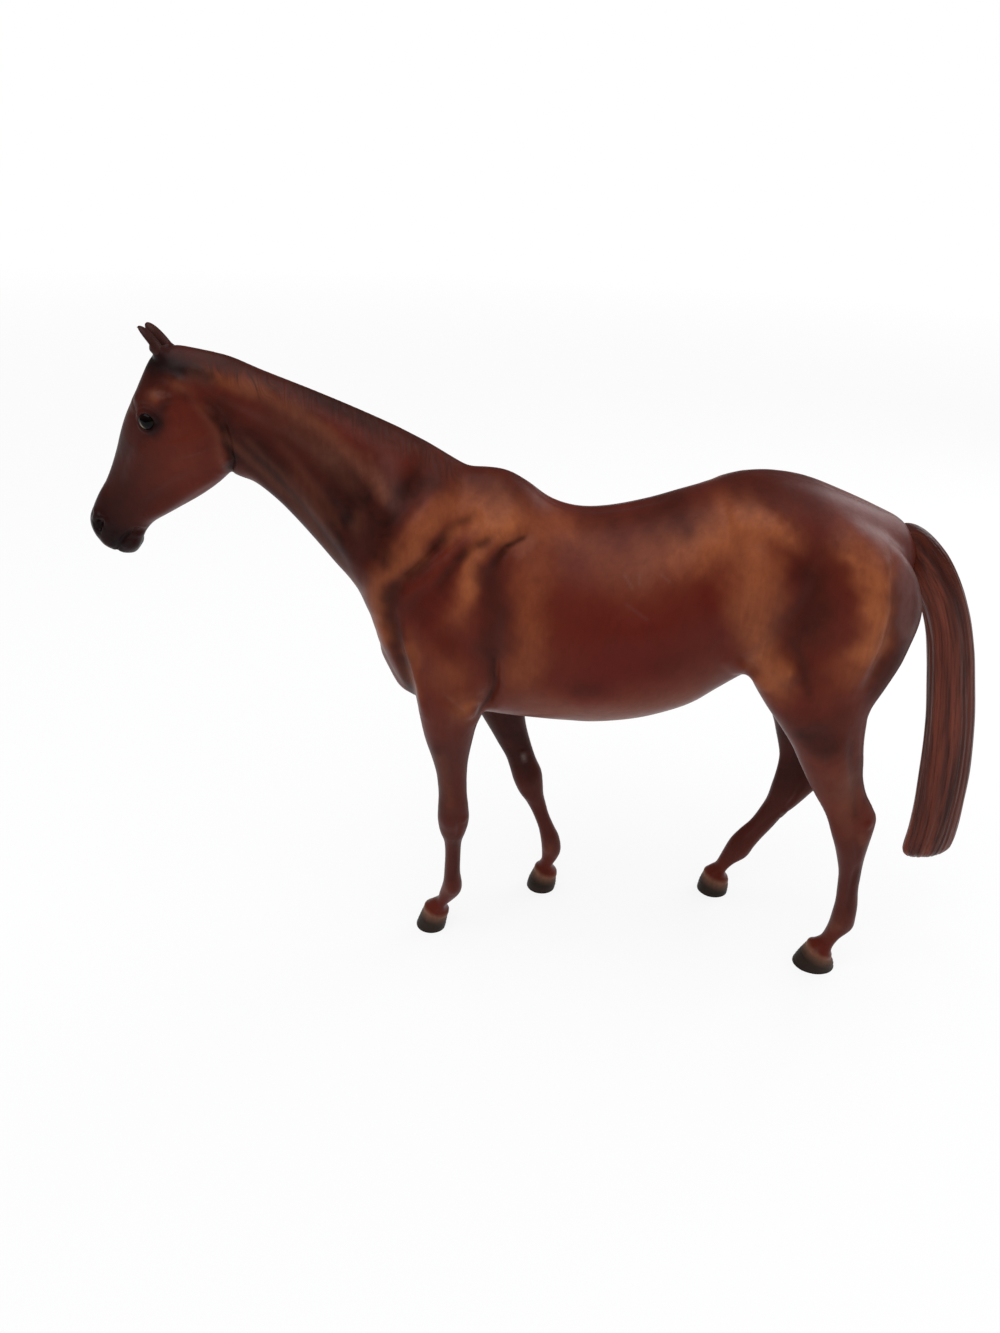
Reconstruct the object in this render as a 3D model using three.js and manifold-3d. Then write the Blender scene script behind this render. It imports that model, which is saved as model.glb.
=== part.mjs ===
// Moulded plastic model horse, walking, about one ninth of life size.
// Millimetres. +Z is up, the nose points to -X and the near (left) side to -Y.
// The body is a hollow casing in two halves that meet on the middle plane and
// are lined up by pins. Four solid legs, the tail and the ears plug into it,
// and the eyes are beads set in sockets.
import * as THREE from "three";
import { mergeVertices } from "three/addons/utils/BufferGeometryUtils.js";
import Module from "manifold-3d";

// Driving dimensions of the body
const elbowHeight = 100; // ground to the point of the elbow
const bodyDepth = 80; // elbow level to just above the withers
const bodyLength = 180; // point of shoulder to point of buttock
const barrelWidth = 66; // across the ribs
const neckLength = 86; // neck root to the back of the poll
const neckDepth = 60; // unit of the neck's crest and throat lines
const neckWidth = 18; // across the upper neck
const neckRise = 30; // degrees above the level
const headLength = 70; // poll to lips
const headDepth = 30; // unit of the head's face and jaw lines
const headWidth = 22; // across the eyes
const headDrop = 62.7; // degrees below the level
const legDepth = 20; // forearm, front to back, at the elbow
const kneeWidth = 10; // across the knee
const tailDrop = 130; // dock to the tip of the tail
const tailReach = 45; // how far the tail stands out behind the dock
const tailWidth = 14; // across the hair
const earLength = 7.9; // the free part
const earWidth = 4.8; // side to side
const earThickness = 3.2; // front to back
const earRise = 51; // degrees above the level
const eyeRadius = 2.7;
const eyeDepth = 1.8; // half the bead's thickness, out through the eye

// Moulding and assembly
const wall = 2.4; // casing wall
const clearance = 0.3; // gap between neighbouring pieces
const spigotRadius = 4.2; // peg on top of each leg
const spigotLength = 11;
const bossRadius = 3.3; // round a lining-up pin
const bossDepth = 6;
const pinRadius = 1.5;
const pinReach = 4; // how far a pin enters the other half
const padHeight = 14; // solid plastic round a spigot, above the joint line
const overrun = 20; // extra length of every cutting block
const grain = 0.01; // finest step between two corners
const sliverHeight = 0.012; // a thinner triangle is turned
const sliverPasses = 4;

// Facets
const bodySides = 36;
const limbSides = 18;
const hollowSides = 16;
const pegSides = 10;

const wasm = await Module();
wasm.setup();

// Meshes and solids

function toSolid(geometry) {
  const bare = geometry.clone();
  bare.deleteAttribute("normal");
  bare.deleteAttribute("uv");
  const merged = mergeVertices(bare);
  const mesh = new wasm.Mesh({
    numProp: 3,
    vertProperties: new Float32Array(merged.attributes.position.array),
    triVerts: new Uint32Array(merged.index.array),
  });
  return new wasm.Manifold(mesh);
}

// A joined or cut mesh has slivers, whose third corner lies on their longest edge.
// Each is turned with its neighbour across that edge, which leaves the surface alone.
function withoutSlivers(corners, index) {
  const point = (i) => new THREE.Vector3().fromBufferAttribute(corners, i);
  const faces = [];
  for (let i = 0; i < index.length; i += 3) {
    const face = Array.from(index.slice(i, i + 3));
    if (new Set(face).size === 3) faces.push(face);
  }
  const owner = new Map();
  const edgeName = (a, b) => `${a} ${b}`;
  const enter = (face, number) => {
    for (let i = 0; i < 3; i += 1) owner.set(edgeName(face[i], face[(i + 1) % 3]), number);
  };
  faces.forEach(enter);
  for (let pass = 0; pass < sliverPasses; pass += 1) {
    faces.forEach((face, number) => {
      const lengths = face.map((a, i) => point(a).distanceTo(point(face[(i + 1) % 3])));
      const longest = lengths.indexOf(Math.max(...lengths));
      const [a, b, c] = [0, 1, 2].map((i) => face[(longest + i) % 3]);
      const base = point(b).sub(point(a));
      const span = base.clone().cross(point(c).sub(point(a))).length() / base.length();
      const other = owner.get(edgeName(b, a));
      if (span > sliverHeight || other === undefined) return;
      const d = faces[other].find((corner) => corner !== a && corner !== b);
      if (d === c || owner.has(edgeName(c, d)) || owner.has(edgeName(d, c))) return;
      owner.delete(edgeName(a, b));
      owner.delete(edgeName(b, a));
      faces[number] = [a, d, c];
      faces[other] = [d, b, c];
      enter(faces[number], number);
      enter(faces[other], other);
    });
  }
  return faces.flat();
}

// The corners are rounded to a fine grain, so that no two lie closer than that.
function toGeometry(solid) {
  const mesh = solid.getMesh();
  const rounded = mesh.vertProperties.map((value) => Math.round(value / grain) * grain);
  const loose = new THREE.BufferGeometry();
  loose.setAttribute("position", new THREE.BufferAttribute(rounded, mesh.numProp));
  loose.setIndex(new THREE.BufferAttribute(mesh.triVerts, 1));
  const geometry = mergeVertices(loose, grain / 2);
  geometry.setIndex(withoutSlivers(geometry.attributes.position, geometry.index.array));
  geometry.computeVertexNormals();
  return geometry;
}

function joined(solids) {
  return solids.reduce((sum, solid) => sum.add(solid));
}

// A section is an oval in a plane square to the middle plane: front (or top) point,
// back (or under) point, half width, distance to the side, and lean, which makes
// the oval wider towards the first point when it is above zero.
function section(front, back, half, side = 0, lean = 0) {
  return { front, back, half, side, lean };
}

// Moves a section's outline outwards by a distance, or inwards if it is below zero.
function grown(one, distance) {
  const step = one.back.clone().sub(one.front).setLength(distance);
  const front = one.front.clone().sub(step);
  const back = one.back.clone().add(step);
  return section(front, back, one.half + distance, one.side, one.lean);
}

function ring(one, sides) {
  const middle = one.front.clone().add(one.back).multiplyScalar(1 / 2);
  const arm = one.front.clone().sub(middle);
  const points = [];
  for (let i = 0; i < sides; i += 1) {
    const angle = (2 * Math.PI * i) / sides;
    const out = Math.cos(angle);
    const across = Math.sin(angle) * (1 + one.lean * out);
    const y = one.side + one.half * across;
    points.push(new THREE.Vector3(middle.x + arm.x * out, y, middle.y + arm.y * out));
  }
  return points;
}

// Closed skin through a row of sections, as a solid. Its points may be reshaped first.
function skin(sections, sides, reshape = (point) => point) {
  const points = sections.flatMap((one) => ring(one, sides)).map(reshape);
  const faces = [];
  for (let row = 0; row + 1 < sections.length; row += 1) {
    for (let i = 0; i < sides; i += 1) {
      const next = (i + 1) % sides;
      const here = row * sides;
      const there = here + sides;
      faces.push([here + i, here + next, there + next], [here + i, there + next, there + i]);
    }
  }
  for (const first of [0, points.length - sides]) {
    const centre = new THREE.Vector3();
    points.slice(first, first + sides).forEach((point) => centre.addScaledVector(point, 1 / sides));
    const hub = points.push(centre) - 1;
    for (let i = 0; i < sides; i += 1) {
      const edge = [first + i, first + ((i + 1) % sides)];
      faces.push(first === 0 ? [hub, edge[1], edge[0]] : [hub, edge[0], edge[1]]);
    }
  }
  const positions = faces.flat().flatMap((index) => points[index].toArray());
  const geometry = new THREE.BufferGeometry();
  geometry.setAttribute("position", new THREE.Float32BufferAttribute(positions, 3));
  const solid = toSolid(geometry);
  if (solid.volume() > 0) return solid;
  return toSolid(turnedInsideOut(geometry));
}

function turnedInsideOut(geometry) {
  const turned = mergeVertices(geometry);
  const index = turned.index.array;
  for (let i = 0; i < index.length; i += 3) {
    [index[i], index[i + 1]] = [index[i + 1], index[i]];
  }
  return turned;
}

// A number on the smooth curve from b to c, which also passes a and d.
function spline(a, b, c, d, t) {
  const bend = (2 * a - 5 * b + 4 * c - d) * t ** 2 + (3 * b - a - 3 * c + d) * t ** 3;
  return b + ((c - a) * t + bend) / 2;
}

// More sections between the given ones, from a row on, so that a skin can carry muscles.
function refined(sections, from, steps) {
  const numbers = ({ front, back, half, side, lean }) =>
    [front.x, front.y, back.x, back.y, half, side, lean];
  const last = sections.length - 1;
  return sections.flatMap((one, row) => {
    if (row < from || row === last) return [one];
    const [a, b, c, d] = [-1, 0, 1, 2].map((step) =>
      numbers(sections[THREE.MathUtils.clamp(row + step, 0, last)]));
    return Array.from({ length: steps }, (_, step) => {
      const [frontX, frontY, backX, backY, half, side, lean] =
        b.map((value, i) => spline(a[i], value, c[i], d[i], step / steps));
      return section(new THREE.Vector2(frontX, frontY), new THREE.Vector2(backX, backY), half, side, lean);
    });
  });
}

// Half space as a large block: the part of the piece on one side of a plane.
const cutSpan = 4 * (bodyLength + neckLength + headLength + overrun);

function halfSpace(axis, from, direction) {
  const block = new THREE.BoxGeometry(cutSpan, cutSpan, cutSpan);
  const centre = new THREE.Vector3();
  centre[axis] = from + (direction * cutSpan) / 2;
  block.translate(centre.x, centre.y, centre.z);
  return toSolid(block);
}

// Round peg between two points.
function peg(from, to, radius) {
  const reach = to.clone().sub(from);
  const geometry = new THREE.CylinderGeometry(radius, radius, reach.length(), pegSides);
  const upright = new THREE.Vector3(0, 1, 0);
  const turn = new THREE.Quaternion().setFromUnitVectors(upright, reach.clone().normalize());
  geometry.applyQuaternion(turn);
  const middle = from.clone().add(to).multiplyScalar(1 / 2);
  geometry.translate(middle.x, middle.y, middle.z);
  return toSolid(geometry);
}

// Places. The body frame starts above the point of shoulder and runs back along +X.
// A height share runs from 0 at the ground to 1 at the elbow and 2 at the withers.

function height(share) {
  return share <= 1 ? share * elbowHeight : elbowHeight + (share - 1) * bodyDepth;
}

function bodyPoint(lengthShare, heightShare) {
  return new THREE.Vector2(lengthShare * bodyLength, height(heightShare));
}

// A frame for the neck, the head or an ear, which points forwards and up by its rise.
function limbFrame(origin, rise, length, depth) {
  const angle = THREE.MathUtils.degToRad(rise);
  const along = new THREE.Vector2(-Math.cos(angle), Math.sin(angle)).multiplyScalar(length);
  const across = new THREE.Vector2(Math.sin(angle), Math.cos(angle)).multiplyScalar(depth);
  return (alongShare, acrossShare) =>
    origin.clone().addScaledVector(along, alongShare).addScaledVector(across, acrossShare);
}

// Trunk: length, top, under, half width, lean
const trunkShares = [
  [0.008, 1.56, 1.42, 0.1, 0],
  [0.022, 1.625, 1.315, 0.2, 0],
  [0.044, 1.725, 1.175, 0.275, -0.15],
  [0.067, 1.81, 1.065, 0.31, -0.2],
  [0.092, 1.885, 1, 0.34, -0.25],
  [0.133, 1.955, 0.975, 0.36, -0.3],
  [0.189, 1.985, 0.968, 0.386, -0.34],
  [0.244, 1.98, 0.962, 0.417, -0.34],
  [0.283, 1.938, 0.957, 0.44, -0.28],
  [0.328, 1.869, 0.954, 0.462, -0.2],
  [0.378, 1.837, 0.951, 0.485, -0.14],
  [0.433, 1.843, 0.951, 0.5, -0.1],
  [0.5, 1.88, 0.967, 0.5, -0.08],
  [0.556, 1.925, 0.993, 0.485, -0.06],
  [0.606, 1.967, 1.037, 0.459, -0.06],
  [0.65, 2.006, 1.105, 0.436, -0.02],
  [0.7, 2.02, 1.185, 0.424, 0.02],
  [0.767, 2.003, 1.265, 0.4, 0.03],
  [0.833, 1.956, 1.33, 0.356, 0],
  [0.894, 1.905, 1.413, 0.28, -0.05],
  [0.939, 1.857, 1.513, 0.19, -0.1],
  [0.967, 1.785, 1.613, 0.09, 0],
];

// Neck: crest along and across, throat along and across, half width, lean
const neckRootShares = [0.156, 1.6];
const neckShares = [
  [1.21, 0.212, 1.02, -0.1, 0.36, 0],
  [1.169, 0.24, 0.931, -0.175, 0.47, -0.1],
  [1.105, 0.275, 0.827, -0.2, 0.5, -0.15],
  [1.016, 0.317, 0.745, -0.18, 0.5, -0.2],
  [0.906, 0.342, 0.659, -0.192, 0.52, -0.25],
  [0.786, 0.378, 0.564, -0.229, 0.555, -0.3],
  [0.665, 0.41, 0.456, -0.28, 0.64, -0.35],
  [0.541, 0.439, 0.355, -0.331, 0.75, -0.4],
  [0.414, 0.464, 0.26, -0.382, 0.89, -0.4],
  [0.294, 0.48, 0.158, -0.468, 1.055, -0.4],
  [0.189, 0.484, 0.05, -0.545, 1.19, -0.35],
  [0.088, 0.488, -0.085, -0.545, 1.1, -0.3],
];

// Mane, which lies on the off side: how far down the neck it reaches, how much
// narrower than the neck it is, how far it stands out at the poll, from where it
// dies away to the withers, and the rows of the neck that it covers
const maneReachShare = 0.45;
const maneWidthShare = 0.66;
const maneStandOut = 2.6;
const maneRows = [2, 11];

// Head: face along and across, jaw along and across, half width, lean
const headRootShares = [1.172, 0.243];
const headShares = [
  [0.062, 0.185, 0.036, -0.418, 0.27, 0],
  [0.119, 0.225, 0.099, -0.61, 0.386, 0.1],
  [0.212, 0.235, 0.181, -0.76, 0.455, 0.15],
  [0.297, 0.24, 0.278, -0.88, 0.5, 0.15],
  [0.38, 0.248, 0.378, -0.91, 0.5, 0.15],
  [0.465, 0.24, 0.468, -0.845, 0.468, 0.1],
  [0.549, 0.222, 0.568, -0.73, 0.4, 0],
  [0.633, 0.208, 0.659, -0.6, 0.345, -0.05],
  [0.721, 0.208, 0.739, -0.48, 0.31, -0.08],
  [0.799, 0.228, 0.806, -0.385, 0.286, -0.05],
  [0.871, 0.231, 0.876, -0.345, 0.29, 0],
  [0.931, 0.215, 0.94, -0.35, 0.3, 0],
  [0.979, 0.125, 0.985, -0.335, 0.255, 0],
  [1.005, -0.003, 1.01, -0.23, 0.145, 0],
];

// Ear: along, half its width, half its thickness
const earRootShares = [0.056, 0.165];
const earSideShare = 0.165; // of the head's width
const earShares = [
  [-0.4, 0.42, 0.5],
  [0, 0.48, 0.52],
  [0.25, 0.5, 0.5],
  [0.5, 0.46, 0.44],
  [0.7, 0.36, 0.36],
  [0.85, 0.24, 0.28],
  [0.95, 0.13, 0.2],
  [1, 0.05, 0.12],
];
const eyePlaceShares = [0.327, -0.035];
const eyeSideShare = 0.42; // of the head's width

// Legs: front height and place, back height and place, half width, side.
// Heights are height shares, places are shares of the leg's depth measured back
// from the leg's root, half widths of the knee's width and sides of the barrel's.
const foreRootShare = 0.167;
const hindRootShare = 0.867;
const shoulderShares = [
  [1.675, -0.6, 1.6, 0.7, 0.85, 0.19],
  [1.825, -0.2, 1.75, 0.55, 0.5, 0.145],
];
const haunchShares = [
  [1.275, -1.55, 1.263, 0.61, 1.2, 0.288],
  [1.425, -1.7, 1.4, 0.84, 1.25, 0.265],
  [1.588, -1.7, 1.575, 0.94, 1.25, 0.25],
  [1.75, -1.625, 1.725, 0.7, 1.1, 0.227],
  [1.888, -1.3, 1.838, 0.25, 0.8, 0.19],
  [1.95, -0.9, 1.9, -0.2, 0.4, 0.15],
];
const nearForeShares = [
  [0, -0.6, 0, -0.03, 0.54, 0.158],
  [0.033, -0.55, 0.033, 0, 0.53, 0.159],
  [0.092, -0.44, 0.072, 0.015, 0.47, 0.162],
  [0.112, -0.35, 0.092, -0.015, 0.4, 0.166],
  [0.138, -0.2, 0.114, -0.03, 0.31, 0.171],
  [0.17, -0.16, 0.146, 0.1, 0.31, 0.177],
  [0.21, -0.115, 0.188, 0.23, 0.38, 0.19],
  [0.245, -0.085, 0.225, 0.265, 0.39, 0.195],
  [0.3, -0.07, 0.29, 0.225, 0.32, 0.2],
  [0.38, -0.06, 0.38, 0.225, 0.29, 0.21],
  [0.445, -0.08, 0.445, 0.24, 0.33, 0.218],
  [0.495, -0.16, 0.495, 0.31, 0.44, 0.222],
  [0.55, -0.2, 0.55, 0.36, 0.49, 0.227],
  [0.61, -0.195, 0.61, 0.34, 0.46, 0.232],
  [0.67, -0.19, 0.67, 0.31, 0.41, 0.238],
  [0.75, -0.22, 0.75, 0.3, 0.46, 0.247],
  [0.82, -0.3, 0.82, 0.32, 0.56, 0.255],
  [0.9, -0.415, 0.9, 0.38, 0.7, 0.263],
  [0.97, -0.49, 0.97, 0.45, 0.82, 0.27],
  [1.063, -0.575, 1.038, 0.585, 0.95, 0.27],
  [1.175, -0.7, 1.125, 0.775, 1.05, 0.258],
  [1.325, -0.85, 1.25, 0.9, 1.1, 0.242],
  [1.5, -0.85, 1.425, 0.8, 1.05, 0.22],
  ...shoulderShares,
];
const offForeShares = [
  [0, 1.54, 0, 2.115, 0.54, 0.226],
  [0.033, 1.57, 0.033, 2.135, 0.53, 0.226],
  [0.093, 1.685, 0.07, 2.125, 0.47, 0.227],
  [0.11, 1.745, 0.093, 2.07, 0.4, 0.228],
  [0.136, 1.8, 0.112, 2.03, 0.31, 0.229],
  [0.17, 1.795, 0.15, 2.12, 0.32, 0.231],
  [0.21, 1.775, 0.193, 2.17, 0.38, 0.23],
  [0.26, 1.73, 0.25, 2.115, 0.37, 0.232],
  [0.305, 1.67, 0.3, 1.995, 0.31, 0.235],
  [0.368, 1.54, 0.355, 1.875, 0.29, 0.24],
  [0.42, 1.4, 0.405, 1.8, 0.32, 0.243],
  [0.463, 1.25, 0.45, 1.74, 0.42, 0.246],
  [0.513, 1.135, 0.505, 1.71, 0.48, 0.25],
  [0.568, 1.05, 0.555, 1.665, 0.47, 0.254],
  [0.618, 0.96, 0.61, 1.54, 0.43, 0.258],
  [0.675, 0.8, 0.68, 1.42, 0.46, 0.262],
  [0.73, 0.65, 0.75, 1.32, 0.56, 0.266],
  [0.8, 0.45, 0.82, 1.26, 0.68, 0.27],
  [0.87, 0.25, 0.9, 1.2, 0.8, 0.272],
  [0.95, 0, 0.98, 1.125, 0.93, 0.272],
  [1.075, -0.3, 1.088, 1.05, 1.05, 0.26],
  [1.275, -0.7, 1.24, 0.95, 1.1, 0.242],
  [1.475, -0.8, 1.41, 0.85, 1.05, 0.22],
  ...shoulderShares,
];
const nearHindShares = [
  [0, 0.28, 0, 1.05, 0.6, 0.312],
  [0.036, 0.355, 0.032, 1.01, 0.58, 0.312],
  [0.088, 0.49, 0.06, 0.935, 0.49, 0.312],
  [0.102, 0.58, 0.08, 0.92, 0.42, 0.312],
  [0.124, 0.69, 0.104, 0.93, 0.33, 0.312],
  [0.156, 0.745, 0.15, 1.02, 0.34, 0.312],
  [0.205, 0.775, 0.195, 1.19, 0.39, 0.312],
  [0.25, 0.78, 0.24, 1.2, 0.38, 0.312],
  [0.305, 0.775, 0.3, 1.175, 0.32, 0.312],
  [0.37, 0.74, 0.37, 1.11, 0.31, 0.312],
  [0.44, 0.69, 0.44, 1.075, 0.34, 0.313],
  [0.5, 0.6, 0.51, 1.05, 0.41, 0.313],
  [0.555, 0.5, 0.575, 1.05, 0.48, 0.314],
  [0.61, 0.38, 0.65, 1.07, 0.47, 0.314],
  [0.67, 0.25, 0.695, 1.055, 0.4, 0.315],
  [0.715, 0.125, 0.738, 0.94, 0.37, 0.316],
  [0.77, -0.06, 0.793, 0.77, 0.42, 0.317],
  [0.83, -0.25, 0.86, 0.64, 0.56, 0.318],
  [0.895, -0.44, 0.925, 0.57, 0.72, 0.318],
  [0.97, -0.655, 0.99, 0.5, 0.86, 0.317],
  [1.063, -0.95, 1.075, 0.46, 1, 0.312],
  [1.163, -1.27, 1.163, 0.46, 1.13, 0.303],
  ...haunchShares,
];
const offHindShares = [
  [0, -1.225, 0, -0.61, 0.56, 0.276],
  [0.04, -1.2, 0.036, -0.61, 0.54, 0.277],
  [0.085, -1.13, 0.06, -0.64, 0.48, 0.278],
  [0.102, -1.06, 0.086, -0.71, 0.41, 0.28],
  [0.122, -0.94, 0.108, -0.7, 0.32, 0.283],
  [0.152, -0.88, 0.146, -0.56, 0.33, 0.286],
  [0.197, -0.81, 0.18, -0.34, 0.38, 0.29],
  [0.247, -0.72, 0.226, -0.23, 0.37, 0.294],
  [0.293, -0.58, 0.265, -0.12, 0.32, 0.298],
  [0.344, -0.385, 0.323, 0.055, 0.31, 0.301],
  [0.4, -0.25, 0.39, 0.24, 0.35, 0.305],
  [0.452, -0.155, 0.435, 0.43, 0.42, 0.308],
  [0.51, -0.115, 0.495, 0.65, 0.48, 0.311],
  [0.56, -0.09, 0.555, 0.85, 0.46, 0.313],
  [0.615, -0.075, 0.63, 0.875, 0.41, 0.316],
  [0.66, -0.09, 0.69, 0.75, 0.39, 0.317],
  [0.705, -0.15, 0.75, 0.6, 0.45, 0.318],
  [0.755, -0.235, 0.815, 0.49, 0.57, 0.318],
  [0.815, -0.34, 0.88, 0.43, 0.72, 0.318],
  [0.88, -0.5, 0.95, 0.425, 0.86, 0.316],
  [0.96, -0.75, 1.038, 0.475, 1, 0.312],
  [1.075, -1.1, 1.144, 0.6, 1.13, 0.303],
  ...haunchShares,
];
const foreJointShare = 0.92; // height of the joint line on the fore legs
const hindJointShare = 1; // and on the hind legs

// Muscles, which stand out from both sides or sink in where the rise is below zero:
// breadth and rise as shares of the barrel's width, and the line each follows, by
// length and height
const muscleShares = [
  [0.11, 0.02, [[0.139, 1.887], [0.067, 1.7], [0.039, 1.5], [0.045, 1.337]]], // shoulder blade
  [0.105, -0.021, [[0.106, 1.987], [0.039, 1.762], [0.017, 1.625]]], // hollow before it
  [0.07, -0.015, [[0.195, 1.837], [0.128, 1.7], [0.062, 1.512]]], // groove behind it
  [0.1, 0.021, [[0.25, 1.812], [0.206, 1.687], [0.184, 1.475]]], // upper arm
  [0.08, -0.024, [[0.284, 1.787], [0.245, 1.662], [0.239, 1.475], [0.245, 1.25], [0.223, 1.075]]],
  [0.07, -0.014, [[0.062, 1.525], [0.073, 1.3], [0.101, 1.075]]], // edge of the breast
  [0.14, 0.017, [[0.139, 1.35], [0.2, 1.16]]], // above the elbow
  [0.13, -0.023, [[0.606, 1.825], [0.623, 1.625], [0.656, 1.387]]], // flank
  [0.12, 0.023, [[0.617, 1.887], [0.678, 1.9], [0.684, 1.625], [0.712, 1.375]]], // hip
  [0.145, -0.02, [[0.784, 1.825], [0.784, 1.625], [0.8, 1.375]]], // thigh
  [0.12, 0.02, [[0.828, 1.837], [0.867, 1.65], [0.856, 1.325]]], // back of the thigh
  [0.09, 0.018, [[0.745, 1.337], [0.747, 1.33]]], // stifle
];
const muscleRows = 2; // sections for each row of a muscled form
const keelShare = 0.15; // of the barrel's width: nearer the middle the muscles die away

// Tail: outer drop and reach, inner drop and reach, half width
const dockShares = [0.944, 1.825];
const tailShares = [
  [0, -0.09, 0.077, 0, 0.25],
  [-0.012, 0.045, 0.062, 0.067, 0.286],
  [0.006, 0.178, 0.1, 0.1, 0.357],
  [0.056, 0.34, 0.154, 0.19, 0.43],
  [0.123, 0.485, 0.208, 0.29, 0.486],
  [0.208, 0.62, 0.277, 0.378, 0.5],
  [0.305, 0.73, 0.354, 0.444, 0.5],
  [0.408, 0.82, 0.438, 0.504, 0.486],
  [0.5, 0.895, 0.523, 0.56, 0.464],
  [0.6, 0.96, 0.615, 0.605, 0.443],
  [0.7, 1.012, 0.708, 0.64, 0.43],
  [0.8, 1.043, 0.808, 0.675, 0.407],
  [0.88, 1.062, 0.895, 0.69, 0.357],
  [0.942, 1.06, 0.97, 0.69, 0.286],
  [0.975, 1.01, 0.992, 0.735, 0.143],
];

// Lining-up pins of the casing: on the trunk by length and height, and on the
// neck and head by along and across
const trunkPinShares = [
  [0.235, 1.915],
  [0.7, 1.965],
  [0.3, 1.005],
  [0.56, 1.045],
  [0.05, 1.2],
  [0.915, 1.51],
];
const neckPinShares = [
  [0.55, 0.32],
  [0.4, -0.24],
];
const headPinShares = [
  [0.46, 0.08],
  [0.47, -0.64],
];

// Rows of each form that its hollow follows
const trunkHollowRows = [1, -1];
const neckHollowRows = [1, -1];
const headHollowRows = [1, -2];

// Sections of each form, from its shares

const neckFrame = limbFrame(bodyPoint(...neckRootShares), neckRise, neckLength, neckDepth);
const headFrame = limbFrame(neckFrame(...headRootShares), -headDrop, headLength, headDepth);

function trunkSections() {
  return trunkShares.map(([along, top, under, half, lean]) =>
    section(bodyPoint(along, top), bodyPoint(along, under), half * barrelWidth, 0, lean));
}

function framedSections(frame, shares, width) {
  return shares.map(([a, b, c, d, half, lean]) =>
    section(frame(a, b), frame(c, d), half * width, 0, lean));
}

function neckSections() {
  return framedSections(neckFrame, neckShares, neckWidth);
}

function headSections() {
  return framedSections(headFrame, headShares, headWidth);
}

function maneSections() {
  const rows = neckSections().slice(...maneRows);
  return rows.map((one, row) => {
    const back = one.front.clone().lerp(one.back, maneReachShare);
    const side = maneStandOut * (1 - row / rows.length);
    return section(one.front, back, one.half * maneWidthShare, side, one.lean);
  });
}

// Side is -1 on the near side and 1 on the off side.
function legSections(shares, rootShare, side) {
  const root = rootShare * bodyLength;
  const place = (heightShare, depthShare) =>
    new THREE.Vector2(root + depthShare * legDepth, height(heightShare));
  return shares.map(([frontHeight, front, backHeight, back, half, out]) => {
    const y = side * out * barrelWidth;
    return section(place(frontHeight, front), place(backHeight, back), half * kneeWidth, y);
  });
}

function tailSections() {
  const dock = bodyPoint(...dockShares);
  const place = (drop, reach) => new THREE.Vector2(dock.x + reach * tailReach, dock.y - drop * tailDrop);
  return tailShares.map(([a, b, c, d, half]) => section(place(a, b), place(c, d), half * tailWidth));
}

function earSections(side) {
  const frame = limbFrame(headFrame(...earRootShares), earRise, earLength, earThickness);
  const y = side * earSideShare * headWidth;
  return earShares.map(([along, half, thick]) =>
    section(frame(along, thick), frame(along, -thick), half * earWidth, y));
}

// How far the muscles stand out beside a place in the side view.
const muscles = muscleShares.map(([breadth, rise, line]) => ({
  breadth: breadth * barrelWidth,
  rise: rise * barrelWidth,
  line: line.map((shares) => bodyPoint(...shares)),
}));

function muscleRise(place) {
  return muscles.reduce((sum, { breadth, rise, line }) => {
    const gaps = line.slice(1).map((end, i) => {
      const way = end.clone().sub(line[i]);
      const t = place.clone().sub(line[i]).dot(way) / way.lengthSq();
      return line[i].clone().addScaledVector(way, THREE.MathUtils.clamp(t, 0, 1)).distanceTo(place);
    });
    const near = 1 - Math.min(1, Math.min(...gaps) / breadth) ** 2;
    return sum + rise * near ** 2;
  }, 0);
}

function muscled(point) {
  const out = THREE.MathUtils.smoothstep(Math.abs(point.y), 0, keelShare * barrelWidth);
  const y = point.y + Math.sign(point.y) * out * muscleRise(new THREE.Vector2(point.x, point.z));
  return new THREE.Vector3(point.x, y, point.z);
}

// Pieces

function eyeBead(side, grow) {
  const place = headFrame(...eyePlaceShares);
  const bead = new THREE.SphereGeometry(1, limbSides, limbSides / 2);
  bead.scale(eyeRadius + grow, eyeDepth + grow, eyeRadius + grow);
  bead.translate(place.x, side * eyeSideShare * headWidth, place.y);
  return toSolid(bead);
}

function legForm(shares, rootShare, side, jointShare) {
  const sections = legSections(shares, rootShare, side);
  const joint = height(jointShare);
  const above = sections.findIndex((one) => Math.min(one.front.y, one.back.y) > joint);
  const solid = skin(refined(sections, above, muscleRows), limbSides, muscled);
  return { sections, solid, joint };
}

const legs = {
  near_fore_leg: legForm(nearForeShares, foreRootShare, -1, foreJointShare),
  off_fore_leg: legForm(offForeShares, foreRootShare, 1, foreJointShare),
  near_hind_leg: legForm(nearHindShares, hindRootShare, -1, hindJointShare),
  off_hind_leg: legForm(offHindShares, hindRootShare, 1, hindJointShare),
};

// Middle of a leg at its joint line.
function jointCentre(leg) {
  const middles = leg.sections.map((one) => one.front.clone().add(one.back).multiplyScalar(1 / 2));
  const above = middles.findIndex((point) => point.y > leg.joint);
  const from = middles[above - 1];
  const share = (leg.joint - from.y) / (middles[above].y - from.y);
  const side = THREE.MathUtils.lerp(leg.sections[above - 1].side, leg.sections[above].side, share);
  return new THREE.Vector3(THREE.MathUtils.lerp(from.x, middles[above].x, share), side, leg.joint);
}

// Peg on the joint line, from a depth below it to a height above it.
function jointPeg(leg, below, above, radius) {
  const foot = jointCentre(leg);
  const top = foot.clone();
  foot.z -= below;
  top.z += above;
  return peg(foot, top, radius);
}

function legPiece(leg) {
  const limb = leg.solid.intersect(halfSpace("z", leg.joint, -1));
  return limb.add(jointPeg(leg, spigotRadius, spigotLength, spigotRadius));
}

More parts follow.
